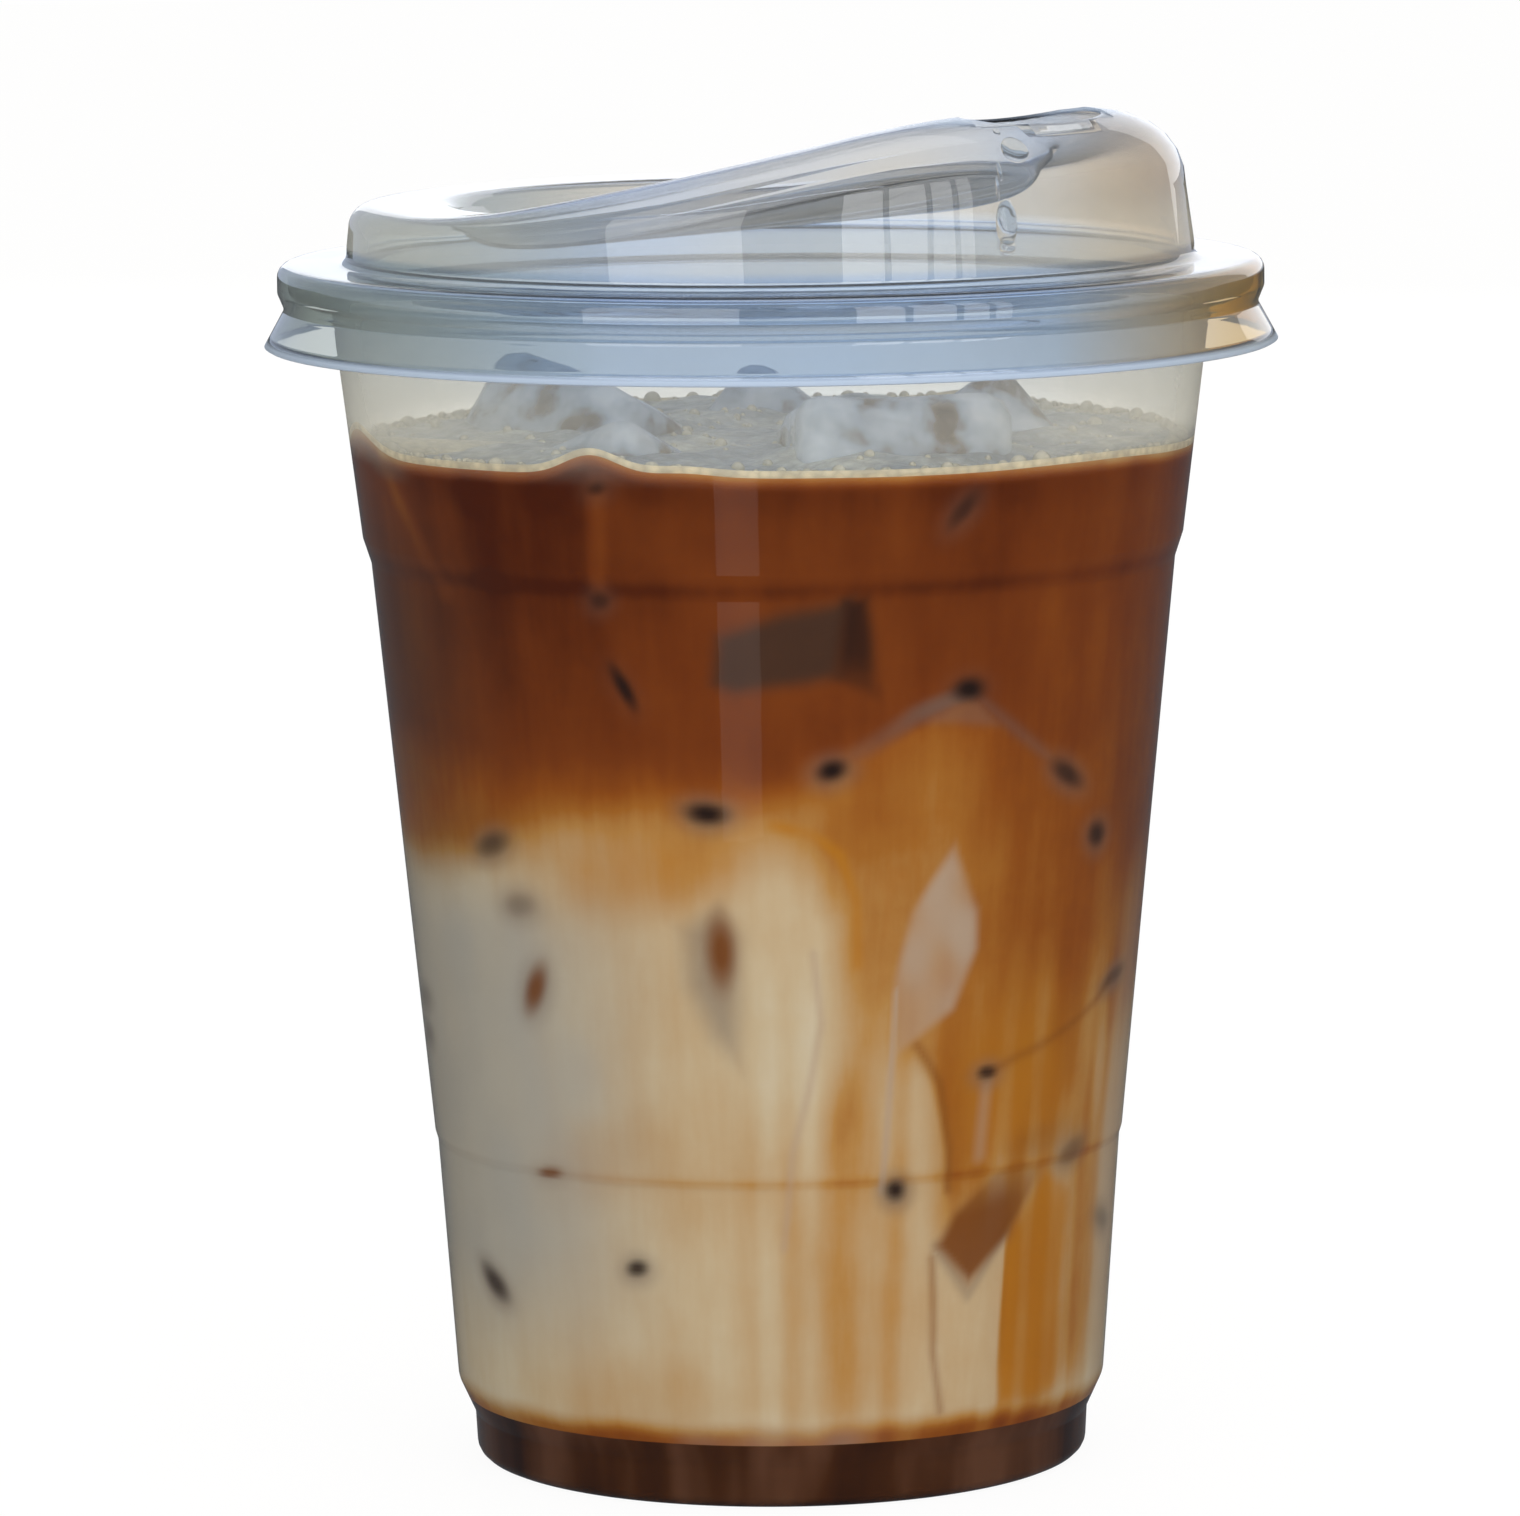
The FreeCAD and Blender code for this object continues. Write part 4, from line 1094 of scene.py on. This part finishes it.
# Tall panes in front: name, bearings of their sides, and strength.
PANES = [("left_window", -43.0, -7.0, 3.2), ("right_window_a", 19.0, 30.0, 4.4),
         ("right_window_b", 31.8, 42.0, 4.0), ("right_window_c", 43.8, 50.0, 3.6),
         ("right_window_d", 51.8, 56.0, 3.0)]
PANE_AWAY, PANE_LOW, PANE_HIGH = 1.0, 0.020, 0.560

# Nested strips low in front, whose soft-edged streak shows on the wall: width, strength.
STRIPS = [(0.036, 0.4), (0.028, 0.4), (0.020, 0.5), (0.012, 0.6)]
STRIP_TALL, STRIP_PLACE, STRIP_AIM = 0.046, (-0.030, -0.190, 0.041), (0.0, 0.0, 0.089)


def softbox(name, size, place, aim, power, tint="#ffffff"):
    """A flat rectangular lamp at a place, turned towards a point."""
    lamp = bpy.data.lights.new(name, "AREA")
    lamp.shape = "RECTANGLE"
    lamp.size, lamp.size_y = size
    lamp.energy = power
    lamp.color = colour(tint)[:3]
    item = bpy.data.objects.new(name, lamp)
    way = Vector(aim) - Vector(place)
    item.location = place
    item.rotation_euler = way.to_track_quat("-Z", "Y").to_euler()
    item.visible_transmission = False
    item.visible_camera = False
    bpy.context.scene.collection.objects.link(item)


def window_pane(name, start, end, strength):
    """A tall bright pane in front of the cup, between two bearings."""
    middle = math.radians(0.5 * (start + end))
    wide = 2.0 * PANE_AWAY * math.tan(math.radians(0.5 * (end - start)))
    tall, level = PANE_HIGH - PANE_LOW, 0.5 * (PANE_LOW + PANE_HIGH)
    softbox(name, (wide, tall), (PANE_AWAY * math.sin(middle), -PANE_AWAY * math.cos(middle), level),
            (0.0, 0.0, level), strength * math.pi * wide * tall)


def seen_by(tree, straight, mirrored, scattered):
    """One surface seen three ways: straight, in one reflection, and by scattered light.

    Straight is by the camera and through clear stuff. Light that has turned round
    inside a clear edge, reflected twice or more, counts as straight, so thin edges
    stay bright.
    """
    ray = node(tree, "ShaderNodeLightPath").outputs
    bounced = node(tree, "ShaderNodeMath", {"operation": "GREATER_THAN", "1": 0.5},
                   i0=ray["Diffuse Depth"])
    once = node(tree, "ShaderNodeMath", {"operation": "COMPARE", "1": 1.0},
                i0=ray["Glossy Depth"])
    clear = node(tree, "ShaderNodeMath", {"operation": "MAXIMUM"},
                 i0=ray["Is Camera Ray"], i1=ray["Is Transmission Ray"])
    direct = node(tree, "ShaderNodeMath", {"operation": "SUBTRACT", "use_clamp": True},
                  i0=clear, i1=once)
    first = node(tree, "ShaderNodeMixShader", i0=direct, i1=mirrored, i2=straight)
    return node(tree, "ShaderNodeMixShader", i0=bounced, i1=first, i2=scattered)


def studio():
    """Pale floor, white surround, two tall windows in front and a soft top light."""
    scene = bpy.context.scene
    scene.view_settings.view_transform = "Standard"
    world = bpy.data.worlds.new("white_surround")
    world.use_nodes = True
    tree = world.node_tree
    tree.nodes.clear()
    white = node(tree, "ShaderNodeBackground", {"Color": colour("#ffffff"), "Strength": 1.0})
    soft = node(tree, "ShaderNodeBackground", {"Color": colour("#fbf6ee"), "Strength": ROOM_LIGHT})
    dim = node(tree, "ShaderNodeBackground", {"Color": colour("#cbd8f0"), "Strength": ROOM_GLOSS})
    node(tree, "ShaderNodeOutputWorld", Surface=seen_by(tree, white, dim, soft))
    scene.world = world

    material, tree, _ = fresh_material("pale_floor_paint")
    paint = node(tree, "ShaderNodeBsdfPrincipled", {"Base Color": colour("#f2f2f2"), "Roughness": 0.8})
    glow = node(tree, "ShaderNodeEmission", {"Color": colour("#ffffff"), "Strength": 1.0})
    dim = node(tree, "ShaderNodeEmission", {"Color": colour("#c9d2dc"), "Strength": FLOOR_GLOSS})
    shaded = node(tree, "ShaderNodeMixShader", {"0": FLOOR_GLOW}, i1=paint, i2=glow)
    finished(material, tree, seen_by(tree, shaded, dim, paint))
    mesh = bpy.data.meshes.new("floor")
    mesh.from_pydata([(x * FLOOR_REACH, y * FLOOR_REACH, 0)
                      for x, y in ((-1, -1), (1, -1), (1, 1), (-1, 1))], [], [(0, 1, 2, 3)])
    mesh.materials.append(material)
    floor = bpy.data.objects.new("floor", mesh)
    scene.collection.objects.link(floor)

    for pane in PANES:
        window_pane(*pane)
    for number, (wide, strength) in enumerate(STRIPS):
        softbox("low_strip_%d" % number, (wide, STRIP_TALL), STRIP_PLACE, STRIP_AIM,
                strength * math.pi * wide * STRIP_TALL)
    softbox("sky_strip", (1.2, 0.04), (0.0, -1.0, 0.75), (0.0, 0.0, 0.13), 0.9, "#e6eeff")
    softbox("top_light", (0.7, 0.7), (0.1, 0.1, 1.2), (0.0, 0.0, 0.1), 1.8)
    softbox("back_light", (1.2, 0.8), (0.3, 1.3, 0.5), (0.0, 0.0, 0.08), 3.0)


def camera():
    """A long lens a little above the lid, looking slightly down."""
    lens = bpy.data.cameras.new("camera")
    lens.lens = CAMERA_LENS
    lens.sensor_width = 36.0
    lens.clip_start, lens.clip_end = 0.01, 20.0
    item = bpy.data.objects.new("camera", lens)
    item.location = (CAMERA_SIDE * MM, -CAMERA_BACK * MM, CAMERA_UP * MM)
    item.rotation_euler = (math.radians(90.0 - CAMERA_DOWN), math.radians(CAMERA_ROLL), 0.0)
    bpy.context.scene.collection.objects.link(item)
    bpy.context.scene.camera = item


camera()
studio()
# Cup sides: painted reflection of warm surroundings on both flanks.
cup_wall(clear_pet("clear_pet_cup_sheet", "#f3f6f7", "#f5f3ee", index=1.5, haze=0.0,
                   mist=(104.5, 109.0, 0.34, 100.0, 101.0),
                   sides=[("#f0efe8", "X", -14.0, -46.0), ("#f0efe8", "X", 28.0, 50.0)],
                   cuts=[]))
# Lid sides: painted reflections, blue sky on the ring below the mound, green-grey at the left and
# amber at the right.
lid_shell(clear_pet("clear_pet_lid_sheet", "#dbe6f7", "#ece9e3", index=1.42, haze=0.01,
                    mist=(134.0, 127.0, 0.3, 125.6, 126.4),
                    sides=[("#cbdcf2", "Z", 126.4, 124.8), ("#c6cdc9", "X", -14.0, -46.0),
                           ("#e0bd72", "X", 28.0, 50.0)],
                    cuts=[(116.8, 116.3, 0.7), (139.6, 140.3, 0.6)]))
syrup_layer(caramel("caramel_syrup"))
drink_side("milk_body", lambda b: SYRUP_TOP + 0.0 * b, lambda b: MILK_TOP + 0.0 * b,
           150, 600, latte("milk_with_coffee_clouds"), ["milk"])
drink_side("coffee_body", lambda b: MILK_TOP + 0.0 * b, contact,
           110, 600, latte("espresso_over_milk"), ["coffee"])
foam_skin(milk_foam("thin_milk_foam"))
bubbles(bubble_film("foam_bubble_film"))
floating_ice(wet_ice("melting_cube_ice"))
lid_drops(clear_water("condensed_water"))
